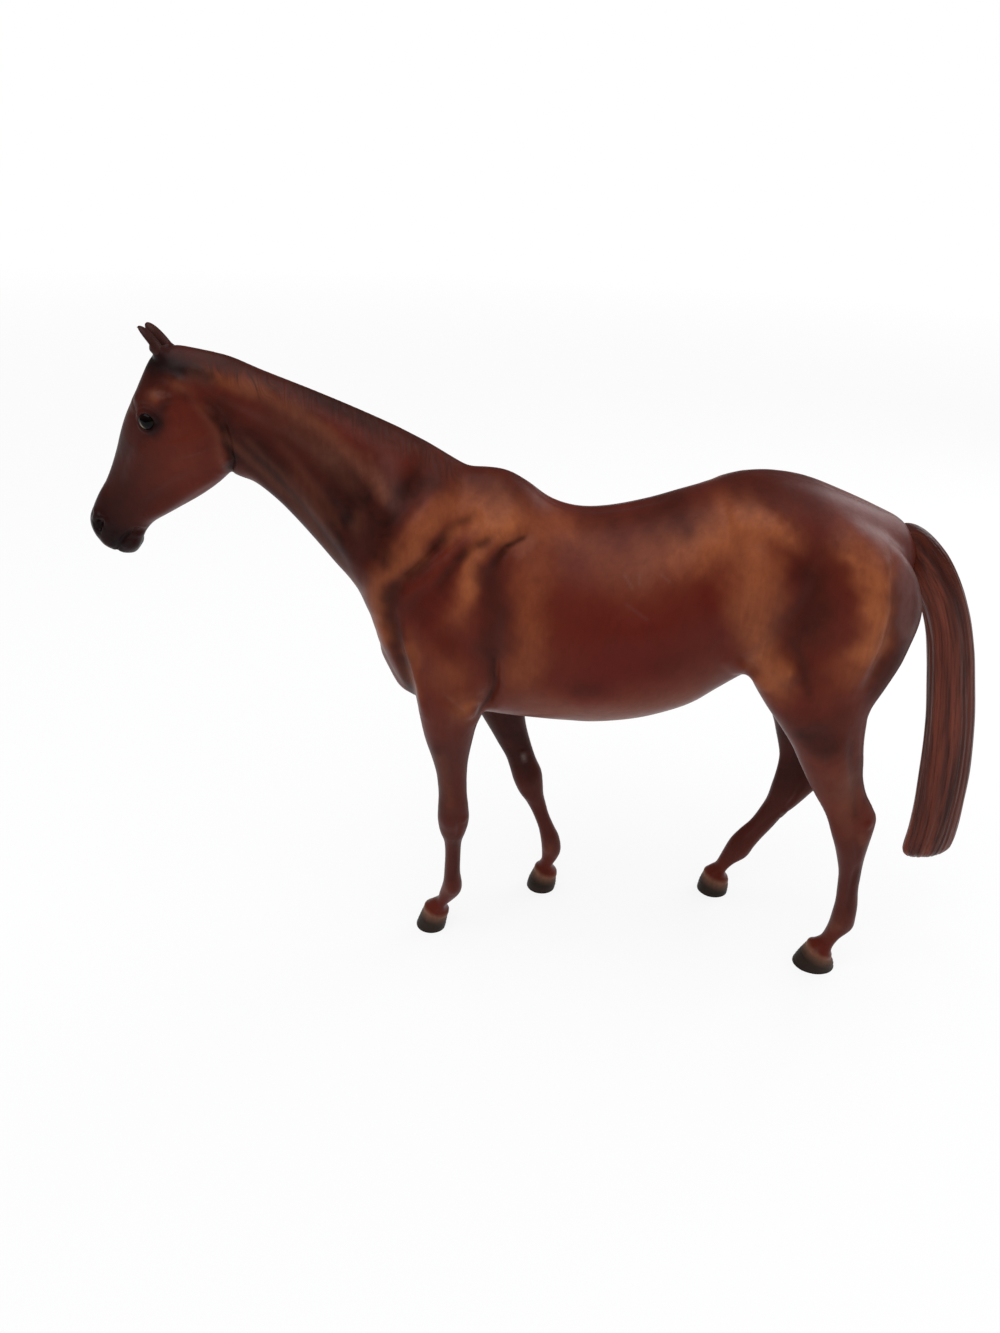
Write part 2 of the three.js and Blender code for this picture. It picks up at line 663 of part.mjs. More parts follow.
function legSocket(leg) {
  return jointPeg(leg, overrun, spigotLength + clearance, spigotRadius + clearance);
}

function plug(sections) {
  return skin(sections, limbSides);
}

// Hole for a plug, with a gap all round it and beyond its inner end.
function pocket(sections) {
  const wide = sections.map((one) => grown(one, clearance));
  const [first, second] = wide;
  const step = first.front.clone().sub(second.front).setLength(clearance);
  const deep = { ...first, front: first.front.clone().add(step), back: first.back.clone().add(step) };
  return plug([deep, ...wide]);
}

function hollow(sections, rows) {
  return skin(sections.slice(...rows).map((one) => grown(one, -wall)), hollowSides);
}

function casingHollow() {
  return joined([
    hollow(trunkSections(), trunkHollowRows),
    hollow(neckSections(), neckHollowRows),
    hollow(headSections(), headHollowRows),
  ]);
}

// Round pegs across the middle plane at every lining-up pin.
function acrossPegs(from, to, radius) {
  const places = [
    ...trunkPinShares.map((shares) => bodyPoint(...shares)),
    ...neckPinShares.map((shares) => neckFrame(...shares)),
    ...headPinShares.map((shares) => headFrame(...shares)),
  ];
  return joined(places.map((place) => {
    const [start, end] = [from, to].map((y) => new THREE.Vector3(place.x, y, place.y));
    return peg(start, end, radius);
  }));
}

// Whole casing before it is split: body, neck, head, mane and the tops of the legs.
function wholeCasing() {
  const all = Object.values(legs);
  const outside = joined([
    skin(refined(trunkSections(), 0, muscleRows), bodySides, muscled),
    skin(neckSections(), bodySides, muscled),
    skin(maneSections(), limbSides),
    skin(headSections(), bodySides),
    ...all.map((leg) => leg.solid.intersect(halfSpace("z", leg.joint + clearance, 1))),
  ]);
  const pads = joined(all.map((leg) => jointPeg(leg, 0, padHeight, spigotRadius + wall)));
  const bosses = acrossPegs(-bossDepth, bossDepth, bossRadius);
  const filled = joined([pads, bosses]).intersect(outside);
  const cuts = [
    ...all.map(legSocket),
    pocket(tailSections()),
    ...[-1, 1].flatMap((side) => [pocket(earSections(side)), eyeBead(side, clearance)]),
  ];
  return outside.subtract(casingHollow()).add(filled).subtract(joined(cuts));
}

const casing = wholeCasing();

function casingHalf(side) {
  const half = casing.intersect(halfSpace("y", (side * clearance) / 2, side));
  if (side < 0) return half.add(acrossPegs(-pinReach, pinReach, pinRadius));
  return half.subtract(acrossPegs(-pinReach, pinReach + clearance, pinRadius + clearance));
}

// Finishes and the finished model

const chestnut = { color: 0x6b2a1b, roughness: 0.38, metalness: 0 };
const darkLeg = { color: 0x532419, roughness: 0.42, metalness: 0 };
const redTail = { color: 0x5e2517, roughness: 0.5, metalness: 0 };
const glossBlack = { color: 0x0a0708, roughness: 0.08, metalness: 0 };

const model = new THREE.Group();

function place(name, solid, finish) {
  const mesh = new THREE.Mesh(toGeometry(solid), new THREE.MeshStandardMaterial(finish));
  mesh.name = name;
  model.add(mesh);
}

place("near_side_casing", casingHalf(-1), chestnut);
place("off_side_casing", casingHalf(1), chestnut);
for (const [name, leg] of Object.entries(legs)) {
  place(name, legPiece(leg), darkLeg);
}
place("tail", plug(tailSections()), redTail);
for (const [name, side] of [["near", -1], ["off", 1]]) {
  place(`${name}_ear`, plug(earSections(side)), chestnut);
  place(`${name}_eye`, eyeBead(side, 0), glossBlack);
}

// The origin goes to the ground, half way from the nose to the tail.
const box = new THREE.Box3().setFromObject(model);
model.position.x = -Math.round((box.min.x + box.max.x) / 2 / grain) * grain;

export default model;
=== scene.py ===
import math
import bpy
import bmesh
import numpy as np
from mathutils import Matrix, Vector


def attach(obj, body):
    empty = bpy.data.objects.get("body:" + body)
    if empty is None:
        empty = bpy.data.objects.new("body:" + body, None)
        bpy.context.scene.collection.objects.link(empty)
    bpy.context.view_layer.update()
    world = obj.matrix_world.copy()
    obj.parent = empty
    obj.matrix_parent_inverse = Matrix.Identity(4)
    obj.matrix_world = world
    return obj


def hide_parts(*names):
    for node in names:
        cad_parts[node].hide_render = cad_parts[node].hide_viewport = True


# Moulded plastic model horse, walking. Shapes are worked out in millimetres in the CAD's
# frame, nose to -X and near side to -Y, and each finished piece is brought to metres.
metre = 0.001
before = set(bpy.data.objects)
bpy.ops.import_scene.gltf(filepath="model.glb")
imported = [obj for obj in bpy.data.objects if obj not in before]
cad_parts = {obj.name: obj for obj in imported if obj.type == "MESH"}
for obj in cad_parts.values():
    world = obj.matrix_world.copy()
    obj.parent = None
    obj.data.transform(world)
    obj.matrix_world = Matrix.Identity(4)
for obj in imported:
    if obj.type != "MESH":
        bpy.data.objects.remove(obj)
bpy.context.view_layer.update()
print("frame loaded:", len(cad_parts), "CAD nodes")

sides = {"near": -1, "off": 1}

# The proportions that the CAD uses
body = {
    "elbow": 100, "depth": 80, "length": 180, "start": -65.1, "width": 66,
    "neckRoot": (0.156, 1.6), "neckRise": 30, "neckLength": 86, "neckDepth": 60, "neckWidth": 18,
    "headRoot": (1.172, 0.243), "headDrop": 62.7, "headLength": 70, "headDepth": 30, "headWidth": 22,
    "legDepth": 20, "kneeWidth": 10, "foreRoot": 0.167, "hindRoot": 0.867,
    "foreJoint": 92, "hindJoint": 100, "jointSplit": 55,
}


def bodyHeight(share):
    if share <= 1:
        return share * body["elbow"]
    return body["elbow"] + (share - 1) * body["depth"]


def bodyPoint(along, up):
    return np.array([body["start"] + along * body["length"], bodyHeight(up)])


def limbFrame(origin, rise, length, depth):
    turn = math.radians(rise)
    along = np.array([-math.cos(turn), math.sin(turn)]) * length
    across = np.array([math.sin(turn), math.cos(turn)]) * depth
    return lambda a, b: origin + a * along + b * across


neckPlace = limbFrame(bodyPoint(*body["neckRoot"]), body["neckRise"], body["neckLength"], body["neckDepth"])
headPlace = limbFrame(neckPlace(*body["headRoot"]), -body["headDrop"], body["headLength"], body["headDepth"])

# Trunk: length, top, under, half width, lean
trunkForm = [
    [0.008, 1.56, 1.42, 0.1, 0], [0.022, 1.625, 1.315, 0.2, 0], [0.044, 1.725, 1.175, 0.275, -0.15],
    [0.067, 1.81, 1.065, 0.31, -0.2], [0.092, 1.885, 1, 0.34, -0.25], [0.133, 1.955, 0.975, 0.36, -0.3],
    [0.189, 1.985, 0.968, 0.386, -0.34], [0.244, 1.98, 0.962, 0.417, -0.34], [0.283, 1.938, 0.957, 0.44, -0.28],
    [0.328, 1.869, 0.954, 0.462, -0.2], [0.378, 1.837, 0.951, 0.485, -0.14], [0.433, 1.843, 0.951, 0.5, -0.1],
    [0.5, 1.88, 0.967, 0.5, -0.08], [0.556, 1.925, 0.993, 0.485, -0.06], [0.606, 1.967, 1.037, 0.459, -0.06],
    [0.65, 2.006, 1.105, 0.436, -0.02], [0.7, 2.02, 1.185, 0.424, 0.02], [0.767, 2.003, 1.265, 0.4, 0.03],
    [0.833, 1.956, 1.33, 0.356, 0], [0.894, 1.905, 1.413, 0.28, -0.05], [0.939, 1.857, 1.513, 0.19, -0.1],
    [0.967, 1.785, 1.613, 0.09, 0],
]

# Neck: crest along and across, throat along and across, half width, lean
neckForm = [
    [1.21, 0.212, 1.02, -0.1, 0.36, 0], [1.169, 0.24, 0.931, -0.175, 0.47, -0.1],
    [1.105, 0.275, 0.827, -0.2, 0.5, -0.15], [1.016, 0.317, 0.745, -0.18, 0.5, -0.2],
    [0.906, 0.342, 0.659, -0.192, 0.52, -0.25], [0.786, 0.378, 0.564, -0.229, 0.555, -0.3],
    [0.665, 0.41, 0.456, -0.28, 0.64, -0.35], [0.541, 0.439, 0.355, -0.331, 0.75, -0.4],
    [0.414, 0.464, 0.26, -0.382, 0.89, -0.4], [0.294, 0.48, 0.158, -0.468, 1.055, -0.4],
    [0.189, 0.484, 0.05, -0.545, 1.19, -0.35], [0.088, 0.488, -0.085, -0.545, 1.1, -0.3],
]

# Head: face along and across, jaw along and across, half width, lean
headForm = [
    [0.062, 0.185, 0.036, -0.418, 0.27, 0], [0.119, 0.225, 0.099, -0.61, 0.386, 0.1],
    [0.212, 0.235, 0.181, -0.76, 0.455, 0.15], [0.297, 0.24, 0.278, -0.88, 0.5, 0.15],
    [0.38, 0.248, 0.378, -0.91, 0.5, 0.15], [0.465, 0.24, 0.468, -0.845, 0.468, 0.1],
    [0.549, 0.222, 0.568, -0.73, 0.4, 0], [0.633, 0.208, 0.659, -0.6, 0.345, -0.05],
    [0.721, 0.208, 0.739, -0.48, 0.31, -0.08], [0.799, 0.228, 0.806, -0.385, 0.286, -0.05],
    [0.871, 0.231, 0.876, -0.345, 0.29, 0], [0.931, 0.215, 0.94, -0.35, 0.3, 0],
    [0.979, 0.125, 0.985, -0.335, 0.255, 0], [1.005, -0.003, 1.01, -0.23, 0.145, 0],
]

# Legs: front height and place, back height and place, half width, side
shoulderForm = [[1.675, -0.6, 1.6, 0.7, 0.85, 0.19], [1.825, -0.2, 1.75, 0.55, 0.5, 0.145]]
haunchForm = [
    [1.275, -1.55, 1.263, 0.61, 1.2, 0.288], [1.425, -1.7, 1.4, 0.84, 1.25, 0.265],
    [1.588, -1.7, 1.575, 0.94, 1.25, 0.25], [1.75, -1.625, 1.725, 0.7, 1.1, 0.227],
    [1.888, -1.3, 1.838, 0.25, 0.8, 0.19], [1.95, -0.9, 1.9, -0.2, 0.4, 0.15],
]
legForms = {
    "near_fore_leg": [
        [0, -0.6, 0, -0.03, 0.54, 0.158], [0.033, -0.55, 0.033, 0, 0.53, 0.159],
        [0.092, -0.44, 0.072, 0.015, 0.47, 0.162], [0.112, -0.35, 0.092, -0.015, 0.4, 0.166],
        [0.138, -0.2, 0.114, -0.03, 0.31, 0.171], [0.17, -0.16, 0.146, 0.1, 0.31, 0.177],
        [0.21, -0.115, 0.188, 0.23, 0.38, 0.19], [0.245, -0.085, 0.225, 0.265, 0.39, 0.195],
        [0.3, -0.07, 0.29, 0.225, 0.32, 0.2], [0.38, -0.06, 0.38, 0.225, 0.29, 0.21],
        [0.445, -0.08, 0.445, 0.24, 0.33, 0.218], [0.495, -0.16, 0.495, 0.31, 0.44, 0.222],
        [0.55, -0.2, 0.55, 0.36, 0.49, 0.227], [0.61, -0.195, 0.61, 0.34, 0.46, 0.232],
        [0.67, -0.19, 0.67, 0.31, 0.41, 0.238], [0.75, -0.22, 0.75, 0.3, 0.46, 0.247],
        [0.82, -0.3, 0.82, 0.32, 0.56, 0.255], [0.9, -0.415, 0.9, 0.38, 0.7, 0.263],
        [0.97, -0.49, 0.97, 0.45, 0.82, 0.27], [1.063, -0.575, 1.038, 0.585, 0.95, 0.27],
        [1.175, -0.7, 1.125, 0.775, 1.05, 0.258], [1.325, -0.85, 1.25, 0.9, 1.1, 0.242],
        [1.5, -0.85, 1.425, 0.8, 1.05, 0.22], *shoulderForm,
    ],
    "off_fore_leg": [
        [0, 1.54, 0, 2.115, 0.54, 0.226], [0.033, 1.57, 0.033, 2.135, 0.53, 0.226],
        [0.093, 1.685, 0.07, 2.125, 0.47, 0.227], [0.11, 1.745, 0.093, 2.07, 0.4, 0.228],
        [0.136, 1.8, 0.112, 2.03, 0.31, 0.229], [0.17, 1.795, 0.15, 2.12, 0.32, 0.231],
        [0.21, 1.775, 0.193, 2.17, 0.38, 0.23], [0.26, 1.73, 0.25, 2.115, 0.37, 0.232],
        [0.305, 1.67, 0.3, 1.995, 0.31, 0.235], [0.368, 1.54, 0.355, 1.875, 0.29, 0.24],
        [0.42, 1.4, 0.405, 1.8, 0.32, 0.243], [0.463, 1.25, 0.45, 1.74, 0.42, 0.246],
        [0.513, 1.135, 0.505, 1.71, 0.48, 0.25], [0.568, 1.05, 0.555, 1.665, 0.47, 0.254],
        [0.618, 0.96, 0.61, 1.54, 0.43, 0.258], [0.675, 0.8, 0.68, 1.42, 0.46, 0.262],
        [0.73, 0.65, 0.75, 1.32, 0.56, 0.266], [0.8, 0.45, 0.82, 1.26, 0.68, 0.27],
        [0.87, 0.25, 0.9, 1.2, 0.8, 0.272], [0.95, 0, 0.98, 1.125, 0.93, 0.272],
        [1.075, -0.3, 1.088, 1.05, 1.05, 0.26], [1.275, -0.7, 1.24, 0.95, 1.1, 0.242],
        [1.475, -0.8, 1.41, 0.85, 1.05, 0.22], *shoulderForm,
    ],
    "near_hind_leg": [
        [0, 0.28, 0, 1.05, 0.6, 0.312], [0.036, 0.355, 0.032, 1.01, 0.58, 0.312],
        [0.088, 0.49, 0.06, 0.935, 0.49, 0.312], [0.102, 0.58, 0.08, 0.92, 0.42, 0.312],
        [0.124, 0.69, 0.104, 0.93, 0.33, 0.312], [0.156, 0.745, 0.15, 1.02, 0.34, 0.312],
        [0.205, 0.775, 0.195, 1.19, 0.39, 0.312], [0.25, 0.78, 0.24, 1.2, 0.38, 0.312],
        [0.305, 0.775, 0.3, 1.175, 0.32, 0.312], [0.37, 0.74, 0.37, 1.11, 0.31, 0.312],
        [0.44, 0.69, 0.44, 1.075, 0.34, 0.313], [0.5, 0.6, 0.51, 1.05, 0.41, 0.313],
        [0.555, 0.5, 0.575, 1.05, 0.48, 0.314], [0.61, 0.38, 0.65, 1.07, 0.47, 0.314],
        [0.67, 0.25, 0.695, 1.055, 0.4, 0.315], [0.715, 0.125, 0.738, 0.94, 0.37, 0.316],
        [0.77, -0.06, 0.793, 0.77, 0.42, 0.317], [0.83, -0.25, 0.86, 0.64, 0.56, 0.318],
        [0.895, -0.44, 0.925, 0.57, 0.72, 0.318], [0.97, -0.655, 0.99, 0.5, 0.86, 0.317],
        [1.063, -0.95, 1.075, 0.46, 1, 0.312], [1.163, -1.27, 1.163, 0.46, 1.13, 0.303], *haunchForm,
    ],
    "off_hind_leg": [
        [0, -1.225, 0, -0.61, 0.56, 0.276], [0.04, -1.2, 0.036, -0.61, 0.54, 0.277],
        [0.085, -1.13, 0.06, -0.64, 0.48, 0.278], [0.102, -1.06, 0.086, -0.71, 0.41, 0.28],
        [0.122, -0.94, 0.108, -0.7, 0.32, 0.283], [0.152, -0.88, 0.146, -0.56, 0.33, 0.286],
        [0.197, -0.81, 0.18, -0.34, 0.38, 0.29], [0.247, -0.72, 0.226, -0.23, 0.37, 0.294],
        [0.293, -0.58, 0.265, -0.12, 0.32, 0.298], [0.344, -0.385, 0.323, 0.055, 0.31, 0.301],
        [0.4, -0.25, 0.39, 0.24, 0.35, 0.305], [0.452, -0.155, 0.435, 0.43, 0.42, 0.308],
        [0.51, -0.115, 0.495, 0.65, 0.48, 0.311], [0.56, -0.09, 0.555, 0.85, 0.46, 0.313],
        [0.615, -0.075, 0.63, 0.875, 0.41, 0.316], [0.66, -0.09, 0.69, 0.75, 0.39, 0.317],
        [0.705, -0.15, 0.75, 0.6, 0.45, 0.318], [0.755, -0.235, 0.815, 0.49, 0.57, 0.318],
        [0.815, -0.34, 0.88, 0.43, 0.72, 0.318], [0.88, -0.5, 0.95, 0.425, 0.86, 0.316],
        [0.96, -0.75, 1.038, 0.475, 1, 0.312], [1.075, -1.1, 1.144, 0.6, 1.13, 0.303], *haunchForm,
    ],
}


# A row is an oval square to the middle plane: front point, back point, half width, side, lean.
def trunkRows():
    return [[*bodyPoint(a, top), *bodyPoint(a, under), half * body["width"], 0, lean]
            for a, top, under, half, lean in trunkForm]


def framedRows(place, form, width):
    return [[*place(a, b), *place(c, d), half * width, 0, lean] for a, b, c, d, half, lean in form]


def legRows(name):
    rootX = bodyPoint(body["foreRoot"] if "fore" in name else body["hindRoot"], 0)[0]
    side = sides[name.split("_")[0]]
    return [[rootX + front * body["legDepth"], bodyHeight(frontUp),
             rootX + back * body["legDepth"], bodyHeight(backUp),
             half * body["kneeWidth"], side * out * body["width"], 0]
            for frontUp, front, backUp, back, half, out in legForms[name]]


def alongRows(rows, shares):
    # the row at each share of the way along, on a smooth curve through them all
    rows = np.asarray(rows, float)
    at = np.clip(shares, 0, 1) * (len(rows) - 1)
    first = np.minimum(at.astype(int), len(rows) - 2)
    t = (at - first)[:, None]
    a, b, c, d = [rows[np.clip(first + k, 0, len(rows) - 1)] for k in (-1, 0, 1, 2)]
    return 0.5 * (2 * b + (c - a) * t + (2 * a - 5 * b + 4 * c - d) * t**2 + (3 * b - a - 3 * c + d) * t**3)


def ovalPoints(row, angle):
    middle = (row[:, 0:2] + row[:, 2:4]) / 2
    arm = row[:, 0:2] - middle
    out = np.cos(angle)
    y = row[:, 5] + row[:, 4] * np.sin(angle) * (1 + row[:, 6] * out)
    return np.column_stack([middle[:, 0] + arm[:, 0] * out, y, middle[:, 1] + arm[:, 1] * out])


def rowMiddles(row):
    return np.column_stack([(row[:, 0] + row[:, 2]) / 2, row[:, 5], (row[:, 1] + row[:, 3]) / 2])


def loft(rows, around, steps, carve=None):
    # a grid wrapped round a table of rows, closed along its seam and at both ends
    weld = 0.0005
    bm = bmesh.new()
    grid = bmesh.ops.create_grid(bm, x_segments=(len(rows) - 1) * steps, y_segments=around, size=0.5)
    spot = np.array([v.co[:2] for v in grid["verts"]]) + 0.5
    angle = 2 * math.pi * spot[:, 1]
    row = alongRows(rows, spot[:, 0])
    points = ovalPoints(row, angle)
    if carve:
        points = carve(points, spot[:, 0], angle, row)
    for vert, point in zip(grid["verts"], points):
        vert.co = point
    bmesh.ops.remove_doubles(bm, verts=bm.verts[:], dist=weld)
    bmesh.ops.holes_fill(bm, edges=[e for e in bm.edges if e.is_boundary], sides=0)
    bmesh.ops.recalc_face_normals(bm, faces=bm.faces[:])
    return bm


def meshOf(bm, name):
    mesh = bpy.data.meshes.new(name)
    bm.to_mesh(mesh)
    bm.free()
    return mesh


def pointsOf(mesh):
    co = np.empty(len(mesh.vertices) * 3)
    mesh.vertices.foreach_get("co", co)
    return co.reshape(-1, 3)


def addTo(whole, part):
    mesh = meshOf(part, "part")
    whole.from_mesh(mesh)
    bpy.data.meshes.remove(mesh)


def linked(name, data):
    holder = bpy.data.objects.new(name, data)
    bpy.context.scene.collection.objects.link(holder)
    return holder


def finishedPiece(name, mesh, finish, nodes):
    mesh.name = name
    mesh.transform(Matrix.Scale(metre, 4))
    mesh.materials.append(finish)
    piece = linked(name, mesh)
    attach(piece, "root")
    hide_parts(*nodes)


def easy(value, low, high):
    # 0 up to low, 1 from high, and a smooth rise between them
    share = np.clip((value - low) / (high - low), 0, 1)
    return share * share * (3 - 2 * share)


def followLine(points, here):
    # how far each place lies from a line through the points, how far along it, and the line's length
    gap = np.full(len(here), np.inf)
    along = np.zeros(len(here))
    done = 0.0
    if len(points) == 1:
        gap = np.linalg.norm(here - points[0], axis=1)
    for start, end in zip(points, points[1:]):
        way = end - start
        step = np.linalg.norm(way)
        t = np.clip((here - start) @ way / max(step * step, 1e-9), 0, 1)
        near = np.linalg.norm(here - start - t[:, None] * way, axis=1)
        closer = near < gap
        along[closer] = done + t[closer] * step
        gap = np.minimum(gap, near)
        done += step
    return gap, along, max(done, 1e-6)


# Clay is a skin whose points are pushed and painted with soft strokes. "soft" rounds a stroke off to
# its edge, and "fade" is the share of its length over which each end fades.
stroke = {"soft": 2, "fade": 0.22, "endWeight": 0.7, "turnedAway": -0.05, "turnedTo": 0.4}
spray = {"soft": 3, "spread": 1.7, "fade": 0.55, "driftRadius": 5}
relaxing = {"step": 0.5, "takenBack": 0.52}
# Waves that make a sprayed edge wander along x and along z: height, pitch in x, pitch in z, start
wanderWaves = [
    [(1.2, 0.11, 0.23, 0), (0.6, -0.36, 0.51, 1), (0.25, 0.9, 1.3, 0)],
    [(1.1, 0.21, 0.14, 2), (0.6, 0.57, 0.42, 0), (0.25, 1.2, -1, 1)],
]


class Clay:
    def __init__(self, mesh):
        self.mesh = mesh
        self.co = pointsOf(mesh)
        edges = np.empty(len(mesh.edges) * 2, np.int32)
        mesh.edges.foreach_get("vertices", edges)
        self.ends = edges.reshape(-1, 2).T
        self.links = np.bincount(edges, minlength=len(self.co))[:, None]
        self.paints = {}
        self.settle()

    def settle(self):
        self.mesh.vertices.foreach_set("co", self.co.ravel())
        self.mesh.update()
        self.normal = np.empty(self.co.size)
        self.mesh.vertex_normals.foreach_get("vector", self.normal)
        self.normal = self.normal.reshape(-1, 3)

    def average(self, values):
        a, b = self.ends
        count = len(values)
        sums = [np.bincount(a, values[b, k], count) + np.bincount(b, values[a, k], count)
                for k in range(values.shape[1])]
        return np.stack(sums, 1) / self.links

    def relax(self, rounds, weight=1.0, keep=True):
        # keep takes each round's shrinkage back, so the form holds its size
        for _ in range(rounds):
            self.co += relaxing["step"] * weight * (self.average(self.co) - self.co)
            if keep:
                self.co -= relaxing["takenBack"] * weight * (self.average(self.co) - self.co)
        self.settle()

    def reach(self, points, radius, side="both", face="out", soft=stroke["soft"], fade=stroke["fade"], drift=0):
        # the skin points that a stroke touches, and how firmly; drift makes its edge wander
        points = np.array(points, float)
        flat = points.shape[1] == 2
        here = self.co[:, (0, 2)] if flat else self.co
        if drift:
            here = here + drift * self.wander
        keep = np.all((here > points.min(0) - radius) & (here < points.max(0) + radius), axis=1)
        if side != "both":
            keep &= self.co[:, 1] * sides[side] > 0
        index = np.flatnonzero(keep)
        gap, along, total = followLine(points, here[index])
        weight = np.clip(1 - (gap / radius)**2, 0, 1)**soft
        if fade is None:
            fade = spray["fade"] * radius / total
        if len(points) > 1 and fade:
            share = along / total
            weight *= easy(np.minimum(share, 1 - share), -fade * stroke["endWeight"], fade)
        if flat and face != "all":
            outward = self.normal[index, 1] * np.where(self.co[index, 1] < 0, -1, 1)
            weight *= easy(outward if face == "out" else -outward, stroke["turnedAway"], stroke["turnedTo"])
        return index, weight

    def push(self, radius, height, points, side="both", face="out", soft=stroke["soft"], fade=stroke["fade"]):
        lines = [points]
        if len(points[0]) == 3 and side == "both" and any(y for x, y, z in points):
            lines.append([(x, -y, z) for x, y, z in points])
        for line in lines:
            index, weight = self.reach(line, radius, side, face, soft, fade)
            self.co[index] += self.normal[index] * (height * weight)[:, None]

    def model(self, strokes, **how):
        for radius, height, points in strokes:
            self.push(radius, height, points, **how)

    def paint(self, name, radius, strength, points, side="both", face="out", drift=0.0):
        layer = self.paints.setdefault(name, np.zeros(len(self.co)))
        index, weight = self.reach(points, radius * spray["spread"], side, face, spray["soft"], None, drift)
        layer[index] = 1 - (1 - layer[index]) * (1 - strength * weight)

    def startPainting(self):
        x, y, z = self.co.T
        self.wander = np.stack([sum(height * np.sin(inX * x + inZ * z + start) for height, inX, inZ, start in waves)
                                for waves in wanderWaves], 1)

    def storePaints(self):
        for name, layer in self.paints.items():
            attribute = self.mesh.attributes.new(name, "FLOAT", "POINT")
            attribute.data.foreach_set("value", np.clip(layer, 0, 1).astype(np.float32))


# The pupil's rings have a centre and two stretches, the white a radius and width and a turn and span,
# and the bulge a height, radius and power.
eye = {"place": headPlace(0.327, -0.035), "side": 0.42 * body["headWidth"], "radius": 2.7, "depth": 1.8,
       "pupil": (0.06, 0.8, 1.25), "whiteRing": (0.68, 0.12), "whiteAngle": (0.6, 0.8), "bulge": (0.1, 0.55, 0.8),
       "segments": 48, "rings": 32, "lidPoints": 12}
eyeX, eyeZ = eye["place"]

# Skin: every form joined, remeshed to one surface and relaxed. The fine spots have a place and a radius.
skin = {"voxel": 0.66, "relax": 14, "fineSpots": [(eyeX, eyeZ, 11), (-145, 153, 15)]}
# Sides and steps of each form's grid
grids = {"trunk": (96, 5), "neck": (80, 6), "head": (72, 5), "leg": (64, 5), "lock": (16, 3), "collar": (32, 6),
         "ear": (48, 5), "tail": (160, 14)}
neckRows = framedRows(neckPlace, neckForm, body["neckWidth"])


def soleRow(rows, depth=0.6):
    # one more row under the ground, so that the sole can be cut off flat
    first, second = np.array(rows[0]), np.array(rows[1])
    return list(first + (first - second) * depth)


# The lengths are shares of the neck, angles round it in degrees, or millimetres. A sway from lock to lock
# has a height, a pitch and a start.
mane = {
    "locks": 15, "rows": 8, "first": 0.17, "span": 0.68, "drop": 58, "dropSway": (16, 2.1, 0.6), "dropLess": 14,
    "top": 19, "slant": 0.045, "curl": 0.006, "curlPitch": 5, "width": 3.4, "widthLess": 0.5, "taper": 0.2,
    "root": 0.12, "thick": 1.5, "thickSway": (0.45, 2.6, 0), "thickLess": 0.35, "swell": 0.9, "swellPower": 1.3,
    "lift": 0.25, "aside": 0.03, "tips": (0.72, 0.3),
}


def rippled(values, along, ripples):
    for height, pitch, start in ripples:
        values = values + height * np.sin(along * pitch + start)
    return values


def maneLock(index):
    # a lock grows from the crest and lies down the off side of the neck
    share = index / (mane["locks"] - 1)
    drop = rippled(mane["drop"], index, [mane["dropSway"]]) - mane["dropLess"] * share
    fullest = rippled(mane["thick"], index, [mane["thickSway"]])
    narrowing = [1] * (mane["rows"] - len(mane["tips"])) + list(mane["tips"])
    rows = []
    for k, narrow in enumerate(narrowing):
        t = k / (mane["rows"] - 1)
        along = mane["first"] + mane["span"] * share + mane["slant"] * t * t
        along += mane["curl"] * math.sin(mane["curlPitch"] * t + index)
        around = alongRows(neckRows, along + mane["aside"] * np.array([-1, 0, 1]))
        ahead, (x, y, z), behind = ovalPoints(around, np.full(3, math.radians(mane["top"] + drop * t)))
        crest = (behind - ahead)[[0, 2]]
        width = (mane["width"] - mane["widthLess"] * share) * (1 - mane["taper"] * t)
        half = width * narrow * crest / np.linalg.norm(crest)
        swell = math.sin(math.pi * min(1, mane["swell"] * t))**mane["swellPower"]
        thick = (mane["root"] + fullest * swell) * (1 - mane["thickLess"] * share)
        rows.append([x - half[0], z - half[1], x + half[0], z + half[1], thick, y + mane["lift"], 0])
    return rows


# Ear: along, half its width, half its thickness
earShape = {"root": (0.056, 0.165), "side": 0.165, "length": 7.9, "width": 4.8, "thick": 3.2, "rise": 51,
            "closing": 0.1, "cup": 0.75, "cupTurn": 0.55, "cupShift": (0.45, 0, 0.3), "cupEdge": (0.35, 0.95),
            "cupStart": (0.2, 0.42), "cupEnd": (0.86, 0.98)}
earForm = [
    [-0.4, 0.42, 0.5], [0, 0.48, 0.54], [0.25, 0.5, 0.56], [0.5, 0.48, 0.54],
    [0.7, 0.42, 0.48], [0.85, 0.31, 0.38], [0.95, 0.18, 0.25], [1, 0.05, 0.12],
]
earCollar = [[-0.5, 0.6, 0.8], [-0.2, 0.54, 0.68], [0.02, 0.5, 0.58], [0.16, 0.45, 0.52], [0.24, 0.36, 0.4]]


def earRows(side, form):
    place = limbFrame(headPlace(*earShape["root"]), earShape["rise"], earShape["length"], earShape["thick"])
    y = side * earShape["side"] * body["headWidth"]
    return [[*place(a, thick), *place(a, -thick), half * earShape["width"],
             y * (1 - earShape["closing"] * max(a, 0)), 0] for a, half, thick in form]


def skinForms():
    whole = bmesh.new()
    forms = [(trunkRows(), "trunk"), (neckRows, "neck"), (framedRows(headPlace, headForm, body["headWidth"]), "head")]
    forms += [([soleRow(legRows(name)), *legRows(name)], "leg") for name in legForms]
    forms += [(maneLock(index), "lock") for index in range(mane["locks"])]
    forms += [(earRows(side, earCollar), "collar") for side in sides.values()]
    for rows, kind in forms:
        addTo(whole, loft(rows, *grids[kind]))
    return whole


